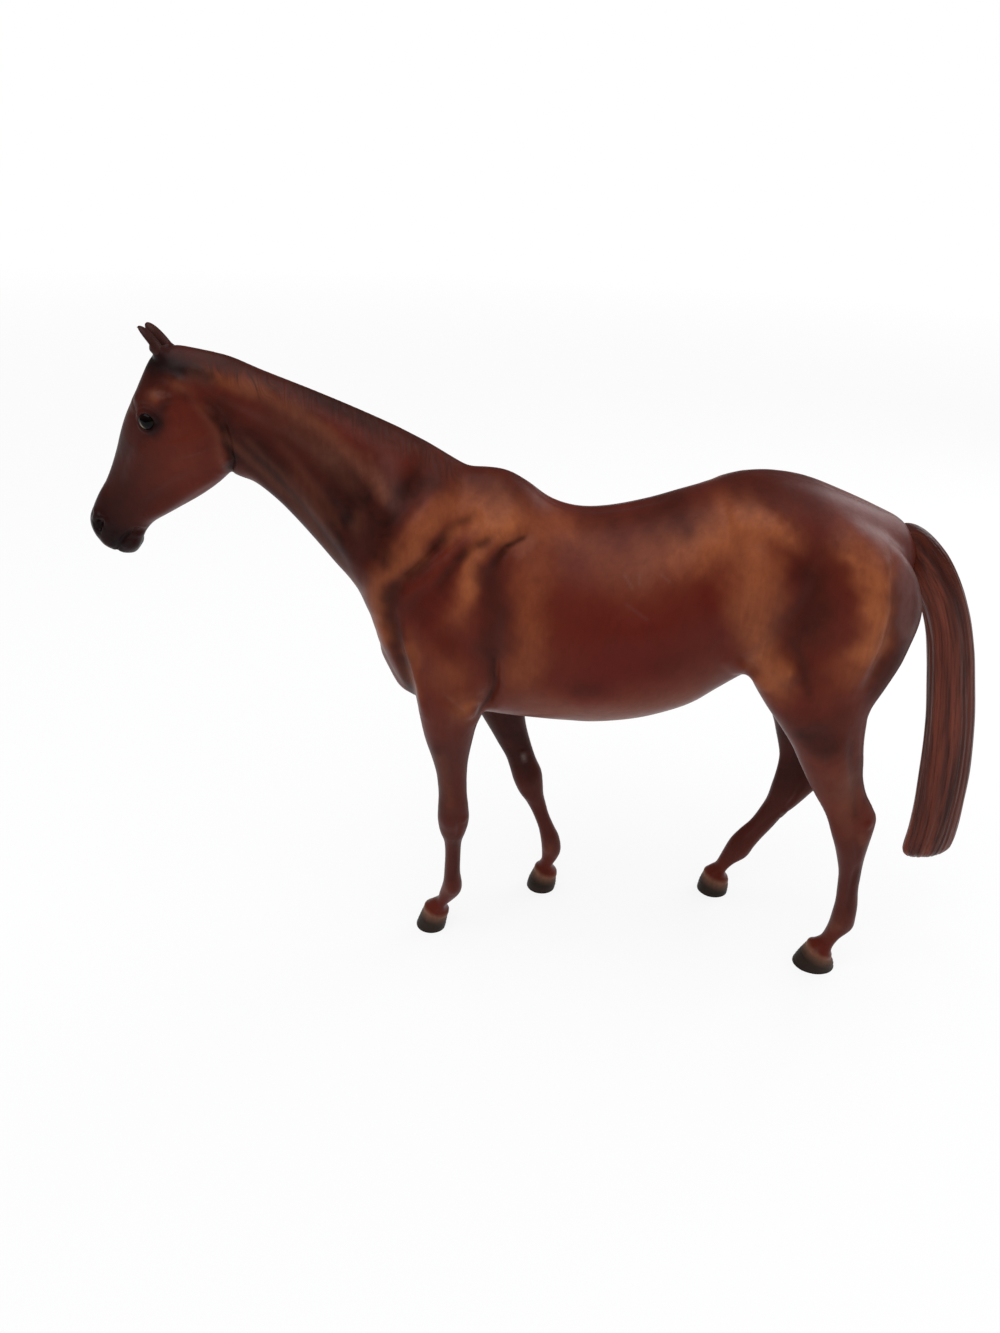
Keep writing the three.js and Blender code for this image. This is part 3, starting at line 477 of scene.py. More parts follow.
def remeshed(bm, voxel):
    mesh = meshOf(bm, "clay")
    lump = linked("clay", mesh)
    modifier = lump.modifiers.new("oneSkin", "REMESH")
    modifier.mode = "VOXEL"
    modifier.voxel_size = voxel
    depsgraph = bpy.context.evaluated_depsgraph_get()
    done = bpy.data.meshes.new_from_object(lump.evaluated_get(depsgraph))
    bpy.data.objects.remove(lump)
    bpy.data.meshes.remove(mesh)
    return done


def finerSpots(mesh):
    # faces round the eye, nostril and mouth are cut in four
    bm = bmesh.new()
    bm.from_mesh(mesh)
    fine = {v for v in bm.verts for x, z, radius in skin["fineSpots"]
            if math.hypot(v.co.x - x, v.co.z - z) < radius}
    edges = [e for e in bm.edges if e.verts[0] in fine and e.verts[1] in fine]
    bmesh.ops.subdivide_edges(bm, edges=edges, cuts=1, use_grid_fill=True)
    bm.to_mesh(mesh)
    bm.free()
    mesh.update()


clayMesh = remeshed(skinForms(), skin["voxel"])
finerSpots(clayMesh)
clay = Clay(clayMesh)
clay.relax(skin["relax"])
print("skin remeshed:", len(clayMesh.vertices), "points")

# Where two forms meet, the skin is relaxed until the meeting is a soft fold: radius, rounds, points
meetings = [
    (11, 40, [(-33, 176), (-44, 168), (-52, 155), (-58, 140)]),
    (10, 40, [(-24, 168), (-20, 150), (-18, 130), (-20, 112)]), (9, 30, [(-54, 118), (-50, 108), (-47, 100)]),
    (8, 26, [(-50, 104), (-35, 104), (-20, 104)]), (11, 40, [(52, 168), (53, 150), (58, 132), (64, 120)]),
    (9, 30, [(62, 176), (80, 174), (98, 162), (106, 148)]), (10, 30, [(66, 118), (82, 116), (100, 118)]),
    (7, 24, [(-118, 208), (-110, 198), (-105, 186), (-106, 176)]),
    (9, 30, [(-46, 184), (-30, 179), (-12, 172)]), (3.6, 12, [(-128, 206), (-122, 209), (-114, 209)]),
    (16, 34, [(-114, 186), (-124, 178), (-134, 168)]),
]
for radius, rounds, points in meetings:
    index, weight = clay.reach(points, radius, face="all", soft=1)
    mask = np.zeros((len(clay.co), 1))
    mask[index, 0] = weight
    clay.relax(rounds, mask, keep=False)
print("forms blended")

# Modelled muscles and folds of the body: radius, height, points in side view
bodyStrokes = [
    (7, 1.3, [(-40, 171), (-47, 164), (-53, 156), (-57, 147), (-58.5, 138), (-57, 127)]),
    (6.5, -1.5, [(-46, 179), (-51, 171), (-58, 161), (-62, 150)]),
    (3.6, -1.0, [(-30, 167), (-37, 161), (-45, 153), (-52, 146), (-55, 138)]),
    (3.4, 0.6, [(-26, 164), (-34, 157), (-42, 150), (-48, 143)]),
    (3, -0.8, [(-24, 162.5), (-30, 157), (-36, 151), (-41, 144)]),
    (6, 1.4, [(-20, 165), (-27, 157), (-31, 148), (-32.5, 137)]),
    (4.6, -1.5, [(-14, 163), (-19, 159), (-22, 152), (-22.5, 140), (-21.5, 128), (-21, 118), (-23, 109), (-26, 103)]),
    (6, 0.7, [(-28, 167), (-16, 168)]), (2.8, 0.7, [(-49, 129), (-47, 119), (-45, 111), (-43.5, 103)]),
    (3.4, -1.0, [(-54, 142), (-53.5, 131), (-50.5, 121), (-48, 112), (-47, 104)]),
    (9, 1.2, [(-41, 130), (-33, 121), (-28, 111)]), (3.4, 0.8, [(-28, 105.5)]),
    (6, 0.6, [(-9, 157), (-8, 137), (-9, 116)]), (8, 0.5, [(12, 140), (26, 138)]),
    (7, 1.5, [(46, 171), (55, 173.5), (63, 170)]), (2.6, 0.6, [(62, 170.5)]),
    (7, 1.5, [(57, 168), (57, 155), (59, 143), (62, 132), (66, 125)]),
    (8, -1.5, [(44, 166), (46, 154), (49, 142), (53, 131)]),
    (9, -1.3, [(76, 166), (76, 153), (77, 140), (79, 130)]),
    (7, 1.4, [(84, 167), (90, 160), (91.5, 148), (91, 136), (88, 124)]),
    (3.4, -0.8, [(96, 164), (98, 152), (97.5, 138), (94, 125)]),
    (5, 0.7, [(101, 160), (104, 146), (103, 130), (99, 114)]), (5.5, 1.3, [(69, 127)]), (2, 0.4, [(69, 128)]),
    (3.2, -0.6, [(67, 138), (71, 132), (75, 124), (76, 116)]), (4, 0.9, [(63, 121), (56, 125), (49, 132)]),
    (8, -0.6, [(84, 106)]), (4.5, 0.7, [(-105, 205), (-93, 200.5), (-80, 194.5), (-66, 187), (-52, 180)]),
    (3.6, -0.5, [(-108, 201), (-97, 196), (-85, 190), (-73, 183)]),
    (9, 0.6, [(-100, 194), (-85, 184), (-70, 172)]),
    (5, -0.3, [(-101, 183), (-91, 174), (-81, 163.5), (-73, 155), (-66, 147)]),
    (4.6, 0.6, [(-96, 186), (-86, 176.5), (-76, 166), (-68, 156), (-63, 147)]),
    (4, -0.5, [(-90, 188), (-80, 177), (-72, 168), (-66, 159)]), (5, 0.5, [(-84, 182), (-78, 174), (-75, 165)]),
    (4, 0.35, [(-98, 175), (-88, 166), (-78, 154), (-69, 142)]), (9, -0.5, [(-15, 112), (5, 106), (22, 108)]),
]
clay.model(bodyStrokes)
clay.settle()
print("muscles modelled")

# Creases and forms away from the side view: radius, height, points with their distance to the side
roundStrokes = [
    (7, 1.2, [(-60, 9, 121), (-57, 9, 111), (-51, 10, 103)]),
    (3.4, -1.2, [(-63, 0, 126), (-60, 0, 115), (-54, 0, 104)]),
    (4, -0.5, [(58, 0, 181), (80, 0, 177), (98, 0, 170)]), (7, 0.3, [(64, 9, 179), (84, 9, 173), (98, 8, 165)]),
    (4, -0.6, [(-8, 0, 171), (8, 0, 168), (28, 0, 172)]),
    (4, -1.4, [(108, 0, 150), (108, 0, 138), (104, 0, 122)]),
    (3, -0.5, [(-30, 0, 97), (0, 0, 95), (25, 0, 97)]),
]
clay.model(roundStrokes, face="all")
folds = [
    [(-21, 127), (-21, 117), (-23, 109), (-26, 102)], [(-37, 112), (-33, 108), (-29, 105)],
    [(-14, 163), (-18, 160), (-21, 157)], [(-38, 159), (-44, 153.5), (-49, 149)],
]
clay.model([(1.9, -0.7, points) for points in folds], soft=1.5)
clay.relax(2)

# Legs: radius, height, points
innerShare = 0.7
legStrokes = {}
legStrokes["near"] = [
    (2.6, -0.6, [(-35, 99), (-34, 85), (-33.5, 70)]), (3, 0.4, [(-39.5, 92), (-37.5, 78), (-36.5, 67)]),
    (4.5, 0.5, [(-34.5, 56)]), (1.4, -0.45, [(-32, 62), (-31.2, 55), (-31.5, 49)]), (2, 0.35, [(-29.6, 57)]),
    (1.3, -0.5, [(-33.2, 47), (-33.1, 36), (-33.4, 27)]), (3.2, 0.35, [(-33.5, 22.5)]),
    (2.8, -0.35, [(93, 108), (96, 97), (99, 88), (102.5, 78), (106, 71)]),
    (3, 0.25, [(90, 104), (92.5, 94), (96, 84)]), (2.2, -0.4, [(86, 104), (88.5, 94), (92, 84)]),
    (2.4, 0.5, [(108.6, 68)]), (1.6, -0.5, [(104, 66), (106, 60), (108, 54)]),
    (1.3, -0.5, [(108.3, 50), (109, 40), (109.8, 29)]), (3.2, 0.35, [(109.5, 22.5)]),
]
legStrokes["off"] = [
    (2.6, -0.6, [(-19, 88), (-13, 74), (-9, 64)]), (4.5, 0.5, [(-6, 53)]),
    (1.3, -0.5, [(-2.6, 42), (0.4, 35), (3.2, 27)]), (3.2, 0.35, [(3.8, 21)]),
    (2.8, -0.6, [(86, 100), (89, 88), (93, 76)]), (2.4, 0.5, [(103, 60)]),
    (1.6, -0.5, [(98, 56), (97, 50), (95, 45)]), (1.3, -0.5, [(92, 42), (87, 35), (82, 27)]),
    (3.2, 0.35, [(79, 21)]),
]
for side, strokes in legStrokes.items():
    for radius, height, points in strokes:
        clay.push(radius, height, points, side, "out")
        clay.push(radius, height * innerShare, points, side, "in")
# Horn patches on the inner side of the legs
hornPatches = [
    ("off", [(-9.4, 65.4), (-8.6, 62.4)]), ("near", [(-33.6, 67), (-33.4, 64)]),
    ("off", [(94.6, 41.8), (93.6, 39.6)]), ("near", [(110, 47), (110.2, 44.5)]),
]
for side, points in hornPatches:
    clay.push(1.5, 0.6, points, side, "in", soft=1, fade=0)
    clay.paint("callus", 1, 1, points, side, "in")
clay.settle()
print("legs modelled")


def roundEye(radiusX, radiusZ, start, end, lift=0):
    angles = np.radians(np.linspace(start, end, eye["lidPoints"]))
    return [(eyeX + radiusX * math.cos(a), eyeZ + lift + radiusZ * math.sin(a)) for a in angles]


# Head: radius, height, points in side view
headStrokes = [
    (9, 1.0, [(-115, 187), (-113, 181)]),
    (2.4, 0.7, [(-112, 197), (-107.6, 192.5), (-105.6, 187), (-105.4, 180), (-108, 175)]),
    (2.2, -0.6, [(-110.5, 198), (-105.8, 193.5), (-103.6, 187)]),
    (1.6, -1.1, [(-104.6, 190), (-103.4, 185), (-103.3, 179), (-105.3, 174.5)]),
    (2.4, 0.5, [(-109, 174), (-117, 169), (-126, 162.5), (-134, 157.5)]),
    (3, -0.6, [(-117, 174), (-125, 168), (-133, 162)]), (3, 0.4, [(-128.5, 184), (-132.5, 178), (-136.5, 171)]),
    (3.4, -0.2, [(-124, 182), (-129, 175), (-134, 168)]),
    (3.2, 0.9, [(-131, 194.5), (-127.5, 196.5), (-123.5, 196.2), (-121, 194.5)]),
    (3.2, -0.9, [(-122.5, 201), (-119.5, 199.5)]), (2, 0.6, [(-121.5, 197), (-118.5, 197.6)]),
    (2.2, 0.6, [(-117, 203), (-113.5, 200), (-111, 196.5)]),
    (3, 0.35, [(-117.5, 207.5), (-113, 206), (-109.5, 204)]), (3, -1.3, [(eyeX, eyeZ)]),
    (3, 0.6, [(-149.8, 158), (-147, 158.5)]), (3, 0.7, [(-139.4, 148.6)]),
    (2, -0.8, [(-138, 154), (-135.5, 153)]), (3, 0.4, [(-146.5, 150)]),
]
clay.model(headStrokes)
clay.settle()
fineStrokes = [
    (1.05, 0.6, roundEye(3, 2.75, 20, 168, 0.2)), (0.85, 0.25, roundEye(3.9, 3.9, 35, 150, 0.5)),
    (0.8, 0.34, roundEye(2.85, 2.6, 195, 345, -0.1)),
    (1.4, 0.45, [(-149.4, 153.6), (-149.9, 156.6), (-148.4, 158.6), (-146, 158), (-145, 156)]),
    (1.5, -1.4, [(-148.6, 153.8), (-148.3, 156), (-146.9, 157)]),
    (0.9, -0.5, [(-144, 147), (-142.6, 149.4), (-140.8, 152), (-138.6, 154)]),
    (1.2, 0.25, [(-145.6, 148.4), (-143.8, 151.4), (-142, 154)]),
    (1.2, 0.25, [(-141.6, 148.6), (-139.6, 151.2)]),
]
clay.model(fineStrokes, soft=1.3, fade=0.15)
mouthStrokes = [
    (2.2, -1.3, [(-144.2, 0, 146.6), (-143.4, 0, 147.6)]),
    (1.8, -1.0, [(-144.2, 3, 146.6), (-143.2, 3.4, 148)]),
]
clay.model(mouthStrokes, face="all", fade=0)
clay.push(1.2, -0.4, [(-152.4, 0, 154.5), (-151.6, 0, 151)], face="all")
clay.settle()
print("head modelled")


def storeHair(mesh, places):
    # how far across the hair and how far down it each point lies, for the painted strands
    attribute = mesh.attributes.new("hairPlace", "FLOAT_VECTOR", "POINT")
    attribute.data.foreach_set("vector", places.astype(np.float32).ravel())


# Hair of the crest and mane. The mane is the part of the off side that stands above the neck's own
# surface, near the crest. A pair says where a mask begins and where it is full, and a ripple has a
# height, a pitch and a start.
hair = {
    "hang": 21, "hangLess": -0.05, "hangRipples": [(2.6, 0.55, 0), (1.6, 1.27, 1)],
    "heights": (168, 176), "withers": -30, "fromWithers": (28, 40), "fromPoll": (4, 12),
    "maneSide": (2.8, 5), "maneFade": (0, 2.6), "crestSide": (-3, -0.6), "crestFade": (-8, -1.5),
    "swing": [(1.3, 0.31, 0), (0.8, 0.83, 1)], "tipSwing": (0.04, 0.5), "maneSlant": 0.35, "crestSlant": 0.9,
    "manePitch": 3.7, "finePitch": 2.1, "crestPitch": 2.6, "fineSwing": 0.5,
    "lift": 0.45, "strand": 0.32, "fine": 0.14, "crest": 0.1, "maneRise": (4.5, 8), "crestRise": (0.3, 2),
}
crestLine = np.array([row[0:2] for row in neckRows])
below, along = followLine(crestLine, clay.co[:, (0, 2)])[:2]
x, y, z = clay.co.T
onNeck = easy(z, *hair["heights"]) * (x < hair["withers"]) * easy(-x, *hair["fromWithers"])
onNeck *= easy(along, *hair["fromPoll"])
maneEdge = rippled(hair["hang"] + hair["hangLess"] * along, along, hair["hangRipples"])
maneMask = onNeck * easy(y, *hair["maneSide"]) * easy(maneEdge - below, *hair["maneFade"])
crestMask = onNeck * easy(-y, *hair["crestSide"]) * easy(-below, *hair["crestFade"])
tipSwing, tipPitch = hair["tipSwing"]
swing = rippled(0, along, hair["swing"]) + tipSwing * below * np.sin(along * tipPitch)
acrossMane = along + hair["maneSlant"] * below + swing
acrossCrest = along - hair["crestSlant"] * below + swing


def waves(places, pitch):
    return np.sin(2 * math.pi * places / pitch)


strands = hair["strand"] * waves(acrossMane, hair["manePitch"])
strands += hair["fine"] * waves(acrossMane + hair["fineSwing"] * swing, hair["finePitch"])
maneRelief = maneMask * easy(y, *hair["maneRise"]) * (hair["lift"] + strands)
crestRelief = crestMask * easy(below, *hair["crestRise"]) * hair["crest"] * waves(acrossCrest, hair["crestPitch"])
clay.co += clay.normal * (maneRelief + crestRelief)[:, None]
clay.paints["mane"] = maneMask
clay.paints["crest"] = crestMask
acrossHair = np.where(y > 0, acrossMane, acrossCrest)
storeHair(clayMesh, np.stack([acrossHair, 0 * along, below], 1) * metre)

# Hoofs: the coronet runs from the front point to the back point of a leg's third row. The places are
# drops under it, apart from the heel's, which are measured from the back point.
hoof = {"ledge": 0.35, "ledgeAt": -0.2, "ledgeWidth": 0.75, "ridges": 0.07, "ridgePitch": 1.5, "wall": (0.6, 1.6),
        "band": (-1.4, 0), "bandEnd": (0.4, 5), "cleft": 0.6, "cleftWidth": 0.9, "cleftDrop": (-1, 2),
        "heel": (-3.5, -0.5), "reach": 13, "top": 16}
hoofMask = np.zeros(len(clay.co))
coronetMask = np.zeros(len(clay.co))
for name in legForms:
    frontX, frontZ, backX, backZ = legRows(name)[2][:4]
    x, y, z = clay.co.T
    mine = (z < hoof["top"]) & (y * sides[name.split("_")[0]] > 0)
    mine &= abs(x - (frontX + backX) / 2) < hoof["reach"]
    x, y, z = clay.co[mine].T
    drop = frontZ + (frontZ - backZ) / (frontX - backX) * (x - frontX) - z
    wall = easy(drop, *hoof["wall"])
    hoofMask[mine] = wall
    coronetMask[mine] = easy(drop, *hoof["band"]) * (1 - easy(drop, *hoof["bandEnd"]))
    heel = easy(x, *(backX + edge for edge in hoof["heel"])) * easy(drop, *hoof["cleftDrop"])
    relief = hoof["ledge"] * np.exp(-((drop - hoof["ledgeAt"]) / hoof["ledgeWidth"])**2)
    relief += hoof["ridges"] * waves(drop, hoof["ridgePitch"]) * wall
    relief -= hoof["cleft"] * np.exp(-((y - np.median(y)) / hoof["cleftWidth"])**2) * heel
    clay.co[mine] += clay.normal[mine] * relief[:, None]
clay.paints["hoof"] = hoofMask
clay.paints["coronet"] = coronetMask
clay.settle()
print("hair and hoofs modelled")

# Airbrushed coat, with painted highlights, painted reflections and painted shade among the strokes: radius, strength,
# points in side view, then the side and the face if the stroke isn't on both sides and facing out
sprays = {}
sprays["gold"] = [
    (4.4, 0.6, [(-57.5, 124), (-58.5, 137), (-57, 147), (-52.5, 155), (-46.5, 162), (-39, 168)]),
    (7, 0.42, [(-42, 168), (-33, 171), (-20, 171)]), (6, 0.9, [(-31, 167.5), (-16, 167)]),
    (5, 0.3, [(-18, 162), (-8, 165), (4, 163)]), (3.4, 0.75, [(-25.5, 161), (-29, 153), (-31.5, 144)]),
    (5, 0.25, [(-31, 147), (-35, 137)]), (2.4, 0.5, [(-32, 163.5), (-38, 159.5)]),
    (2.4, 0.4, [(-43, 158), (-50, 151)]), (3.2, 0.4, [(-48, 130), (-48, 119), (-46, 108)]),
    (8, 0.3, [(-40, 125), (-31, 115)]), (4, 0.7, [(-31, 110), (-27.5, 104.5)]),
    (6.5, 0.34, [(-10, 160), (-12, 140), (-12, 116)]), (11, 0.2, [(2, 160), (18, 159), (32, 161)]),
    (13, 0.24, [(-14, 108), (10, 105), (34, 110), (48, 119)]),
    (7, 0.64, [(28, 160), (40, 166), (50, 170.5), (58, 171)]), (3.4, 0.65, [(52, 173), (60, 172), (67, 168)]),
    (8.5, 0.6, [(55, 168), (54, 158), (56, 147), (59, 136)]), (5.5, 0.65, [(59, 139), (62, 128), (66, 118)]),
    (4.5, 0.4, [(67, 132), (68, 124)]), (5, 0.55, [(79, 168), (87, 164), (91, 156)]),
    (6.5, 0.95, [(91.5, 162), (93, 148), (91.5, 132)]), (7, 0.18, [(89, 134), (84, 122)]),
    (1.3, 0.6, [(80.5, 164.8), (85.5, 161.5)]), (1, 0.5, [(87.5, 150.5), (90.5, 147.5)]),
    (1, 0.4, [(92.3, 139), (91, 134.5)]), (1.2, 0.5, [(69, 128)]), (8, 0.18, [(90, 96), (97, 82), (102, 72)]),
    (2.4, 0.5, [(-115, 205.5), (-104, 203.2), (-94, 199.4)]),
    (2, 0.24, [(-94, 199.4), (-84, 194.6), (-72, 188.5)]), (2, 0.4, [(-124.4, 196.6), (-121.5, 198.4)]),
    (2.4, 0.35, [(-117.5, 201.6), (-113.5, 199.6)]),
    (2.2, 0.18, [(-111, 196.5), (-107.4, 191), (-106.4, 185), (-107.4, 178)]),
    (9, 0.12, [(-116, 184), (-118, 176)]),
]
sprays["tan"] = [
    (2.6, 0.8, [(-100, 201.5), (-90, 197.5), (-80, 192), (-70, 186), (-60, 178), (-54, 171)]),
    (4, 0.35, [(-90, 194), (-78, 186), (-70, 178)]), (4, 0.34, [(-85, 178), (-79, 170), (-76, 162)]),
    (3, 0.3, [(-77, 188), (-70, 181), (-64, 173)]), (2.4, 0.34, [(-63, 168), (-66, 160)]),
    (2.1, 0.44, [(-106, 188), (-98, 180.5), (-88, 170.5), (-80, 161), (-72, 150.5), (-65, 141)]),
    (1.3, 0.3, [(-98, 187), (-88, 177), (-79, 166.5), (-71, 157)]),
    (1.4, 0.24, [(-88, 186), (-80, 177), (-74, 169), (-70, 161)]),
    (1.6, 0.4, [(-100, 173), (-90, 163), (-80, 150)]), (1.2, 0.5, [(-62, 184), (-59, 178), (-56, 172)]),
    (2.4, 0.4, [(-38, 88), (-36, 74), (-35, 62)], "near"), (2, 0.5, [(-35, 24), (-36, 19)], "near"),
    (3, 0.4, [(96, 90), (99, 76), (104, 62)], "near"), (2, 0.5, [(107, 66), (109, 60)], "near"),
    (2, 0.5, [(108, 24), (106, 18)], "near"), (2, 0.5, [(4, 24), (2, 18)], "off", "all"),
    (4, 0.5, [(-36, 104), (-28, 104)]), (2, 0.5, [(-125.5, 197.2), (-121, 198.4)]),
    (2, 0.35, [(-118, 201.6), (-113.5, 199.6)]), (5, 0.35, [(15, 154), (27, 158)], "near"),
]
sprays["wine"] = [
    (14, 0.4, [(0, 142), (20, 143), (38, 147)]), (12, 0.75, [(2, 122), (20, 127), (38, 132)]),
    (6, 0.7, [(0, 118), (8, 117), (15, 120)]), (9, 0.5, [(12, 165), (26, 166), (36, 169)]),
    (8, 0.5, [(-44, 151), (-41, 140), (-38, 128)]), (9, 0.16, [(-104, 193), (-90, 185), (-74, 175)]),
    (6, 0.4, [(-16, 153), (-12, 152)]), (6, 0.6, [(43, 157), (45, 146), (49, 136)]),
    (5, 0.4, [(67, 162), (66, 150), (69, 138)]), (13, 0.4, [(-117, 186), (-116, 178)]),
]
# Painted reflections and highlights: a pale greyish sheen sprayed on the croup, the buttock, the forehead, the neck
# and by the ear; the first four small strokes are light scuffs on the near side of the barrel
sprays["sheen"] = [
    (0.5, 0.3, [(16, 155.5), (19, 152)], "near"), (0.5, 0.25, [(20.5, 156), (21, 153)], "near"),
    (0.5, 0.25, [(27, 156.5), (30, 154.5)], "near"), (0.45, 0.2, [(17, 148), (24, 144)], "near"),
    (10, 0.54, [(72, 179), (88, 175), (100, 166)], "both", "all"),
    (3.6, 0.9, [(98, 165), (101, 157), (102.5, 147), (103, 138)]), (2, 0.5, [(-135, 196), (-138.5, 188)]),
    (3, 0.3, [(-58, 184), (-54, 176), (-52, 168)]), (2, 0.4, [(-114, 206), (-108, 202)]),
]
sprays["dark"] = [
    (4, 0.35, [(2, 120), (13, 121)]), (5, 0.2, [(26, 130), (38, 132)]),
    (7, 0.5, [(10, 168), (22, 168), (36, 172)]),
    (5.5, 0.92, [(-47.5, 178), (-52.5, 169), (-57.5, 160), (-61, 150)]), (4, 0.5, [(-46, 176), (-38, 174)]),
    (9, 0.68, [(-60, 181), (-66, 168), (-70, 158)]),
    (11, 0.72, [(-102, 188), (-88, 176), (-74, 163), (-64, 148)]),
    (6, 0.7, [(-66, 182), (-61, 172), (-62, 160)]), (7, 0.6, [(-70, 178), (-70, 166), (-66, 154)]),
    (6, 0.55, [(-86, 192), (-76, 184), (-72, 174)]),
    (3, 0.4, [(-104, 184), (-93, 176), (-83, 165), (-74, 155), (-66, 146)]),
    (3.5, 0.7, [(-99, 189), (-92, 184), (-88, 177)]), (4, 0.6, [(-76, 184), (-70, 179), (-63, 176)]),
    (4, 0.6, [(-72, 172), (-68, 164), (-67, 156)]),
    (3.4, 0.65, [(-105, 208), (-90, 204), (-75, 199), (-58, 190)]),
    (5, 0.5, [(-105, 200), (-100, 190), (-98, 180)]), (6, 0.4, [(-96, 172), (-82, 157), (-70, 144)]),
    (1.6, 0.45, [(-30, 167.5), (-34.5, 164.5)]), (2.3, 0.7, [(-36.5, 162), (-42, 157)]),
    (2.6, 0.6, [(-43, 155.5), (-50, 149)]), (3, 0.65, [(-51, 149), (-55, 140)]),
    (1.5, 0.6, [(-24, 162.5), (-28.5, 159.6)]), (2, 0.6, [(-30, 158.5), (-34.5, 154.5)]),
    (3.4, 0.45, [(-35, 153.5), (-40, 146)]), (6, 0.35, [(-44, 147), (-45, 133)]),
    (0.9, 0.8, [(-13.5, 162.8), (-16.5, 161.4), (-19.5, 160)]), (1.8, 0.6, [(-19, 160), (-23, 154)]),
    (4.6, 0.28, [(-23.5, 153), (-22.5, 141), (-21.5, 129)]), (2.4, 0.4, [(-21.5, 131), (-21, 119), (-23, 108)]),
    (0.7, 0.7, [(-21.2, 127), (-20.8, 118), (-23, 109), (-25.8, 102.5)]),
    (3.8, 0.75, [(-52.5, 144), (-54, 134), (-53, 124)]), (2.6, 0.7, [(-51, 124), (-48.5, 112), (-48, 102)]),
    (6, 0.28, [(-38, 136), (-33, 126)]), (6, 0.4, [(70, 166), (69, 155)]),
    (8.5, 0.56, [(72.5, 163), (72, 149), (71.5, 134)]), (6.5, 0.3, [(75, 132), (75, 122)]),
    (1.8, 0.3, [(69.5, 138), (73, 130), (76, 120)]),
    (5, 0.42, [(101.5, 164), (102.5, 148), (101.5, 132), (98, 118)]),
    (5, 0.28, [(107, 150), (104, 132), (100, 116)]), (5.2, 0.72, [(76, 110), (84, 103), (93, 100)]),
    (8, 0.36, [(80, 113), (92, 109)]), (6, 0.55, [(36, 180), (60, 181), (78, 177)], "both", "all"),
    (7, 0.6, [(2, 171), (20, 172), (38, 178)], "both", "all"),
    (7, 0.5, [(-42, 185), (-26, 180), (-10, 173)], "both", "all"),
    (1.2, 0.8, [(-104.6, 190), (-103.4, 185), (-103.3, 179), (-105.6, 174.6)]),
    (3, 0.45, [(-109, 199), (-103.5, 192), (-101.6, 183), (-102.4, 176)]),
    (1.9, 0.65, [(-107.6, 194), (-104.6, 189.6), (-103.3, 185), (-103.2, 179.5), (-105.4, 174.6)]),
    (9, 0.55, [(-128, 208), (-134, 192), (-140, 180), (-146, 168)], "both", "all"),
    (12, 0.42, [(-128, 192), (-136, 172)], "both", "all"),
    (10, 0.62, [(-143, 172), (-139, 162), (-131, 157)], "both", "all"),
    (2.6, 0.5, [(-121, 200.5), (-118, 196)]), (6, 0.3, [(-120, 170), (-131, 161)]),
    (6, 0.55, [(-131, 202), (-126, 203)]), (4.4, 0.75, [(-121, 206.5), (-123.5, 202), (-125, 198)]),
    (2, 0.45, [(-117.5, 199), (-112.5, 197)]),
    (2.6, 0.6, [(-116, 211), (-92, 206), (-66, 195), (-44, 186)], "both", "all"),
    # Painted shade: the inner sides of the legs, between the legs, are sprayed darker
    (14, 0.7, [(-28, 92), (-14, 72), (-6, 52)], "both", "in"),
    (14, 0.7, [(80, 96), (94, 66), (92, 48)], "both", "in"),
    (1.6, 0.4, [(93, 104), (97, 92), (100.5, 80), (104, 71)], "near"),
    (2.5, 0.4, [(99, 98), (103, 84), (107, 76)], "near"),
    (2, 0.35, [(-32.4, 50), (-32.4, 38), (-32.6, 26)], "near"),
    (2, 0.35, [(109.6, 50), (110.4, 38), (111.5, 27)], "near"),
    (2.5, 0.3, [(-40, 92), (-38.4, 74), (-38, 58)], "near"),
]
sprays["plum"] = [
    (12, 0.65, [(-100, 186), (-86, 172), (-72, 156)]),
    (8, 0.55, [(-98, 197), (-84, 189), (-69, 179), (-58, 168)]),
    (6.5, 0.75, [(-22.5, 157), (-21.5, 141), (-21.5, 125)]),
    (6, 0.9, [(-112, 202), (-120, 208), (-128, 217)], "both", "all"),
    (16, 0.5, [(90, 92), (98, 76)], "both", "all"),
    (11, 0.75, [(-36, 98), (-35, 70), (-34, 50), (-34, 30), (-37, 15)], "near", "all"),
    (11, 0.75, [(-20, 92), (-10, 66), (-3, 45), (4, 28), (2, 14)], "off", "all"),
    (11, 0.75, [(104, 68), (107, 48), (109, 30), (106, 15)], "near", "all"),
    (11, 0.75, [(94, 66), (92, 48), (82, 30), (72, 15)], "off", "all"),
    (9, 0.6, [(102, 160), (104, 145), (101, 125)]), (12, 0.45, [(-134, 190), (-138, 178), (-144, 168)]),
    (4, 0.6, [(-116, 211), (-92, 206), (-66, 195), (-44, 185)], "both", "all"),
]
sprays["ink"] = [
    (10, 0.96, [(-156, 160), (-150, 155), (-145, 150), (-136, 143)], "both", "all"),
    (9, 0.85, [(-148, 150), (-136, 147), (-130, 144)], "both", "all"),
    (11, 0.5, [(-138, 170), (-146, 160), (-150, 152)], "both", "all"), (4.2, 0.96, [(eyeX, eyeZ + 0.3)]),
    (2.8, 0.8, [(eyeX + 1, eyeZ), (eyeX + 5.5, eyeZ + 0.6)]),
    (1.6, 0.5, [(eyeX + 4, eyeZ + 3), (eyeX + 7, eyeZ + 6)]),
    (3.6, 0.85, [(-130, 208), (-121, 205.5), (-113, 204.5)], "both", "all"),
    (4.5, 0.5, [(-118, 206), (-123, 211), (-128, 217)], "both", "all"),
    (2.4, 0.7, [(-118, 207), (-112, 205.6), (-107, 202.4)]), (2, 0.8, [(-148.5, 154.5), (-147.5, 157)]),
    (0.7, 0.7, [(-144, 147), (-142.4, 149.8), (-138.6, 154)]),
]
clay.startPainting()
for name, strokes in sprays.items():
    for radius, *rest in strokes:
        clay.paint(name, radius, *rest, drift=min(1, radius / spray["driftRadius"]))
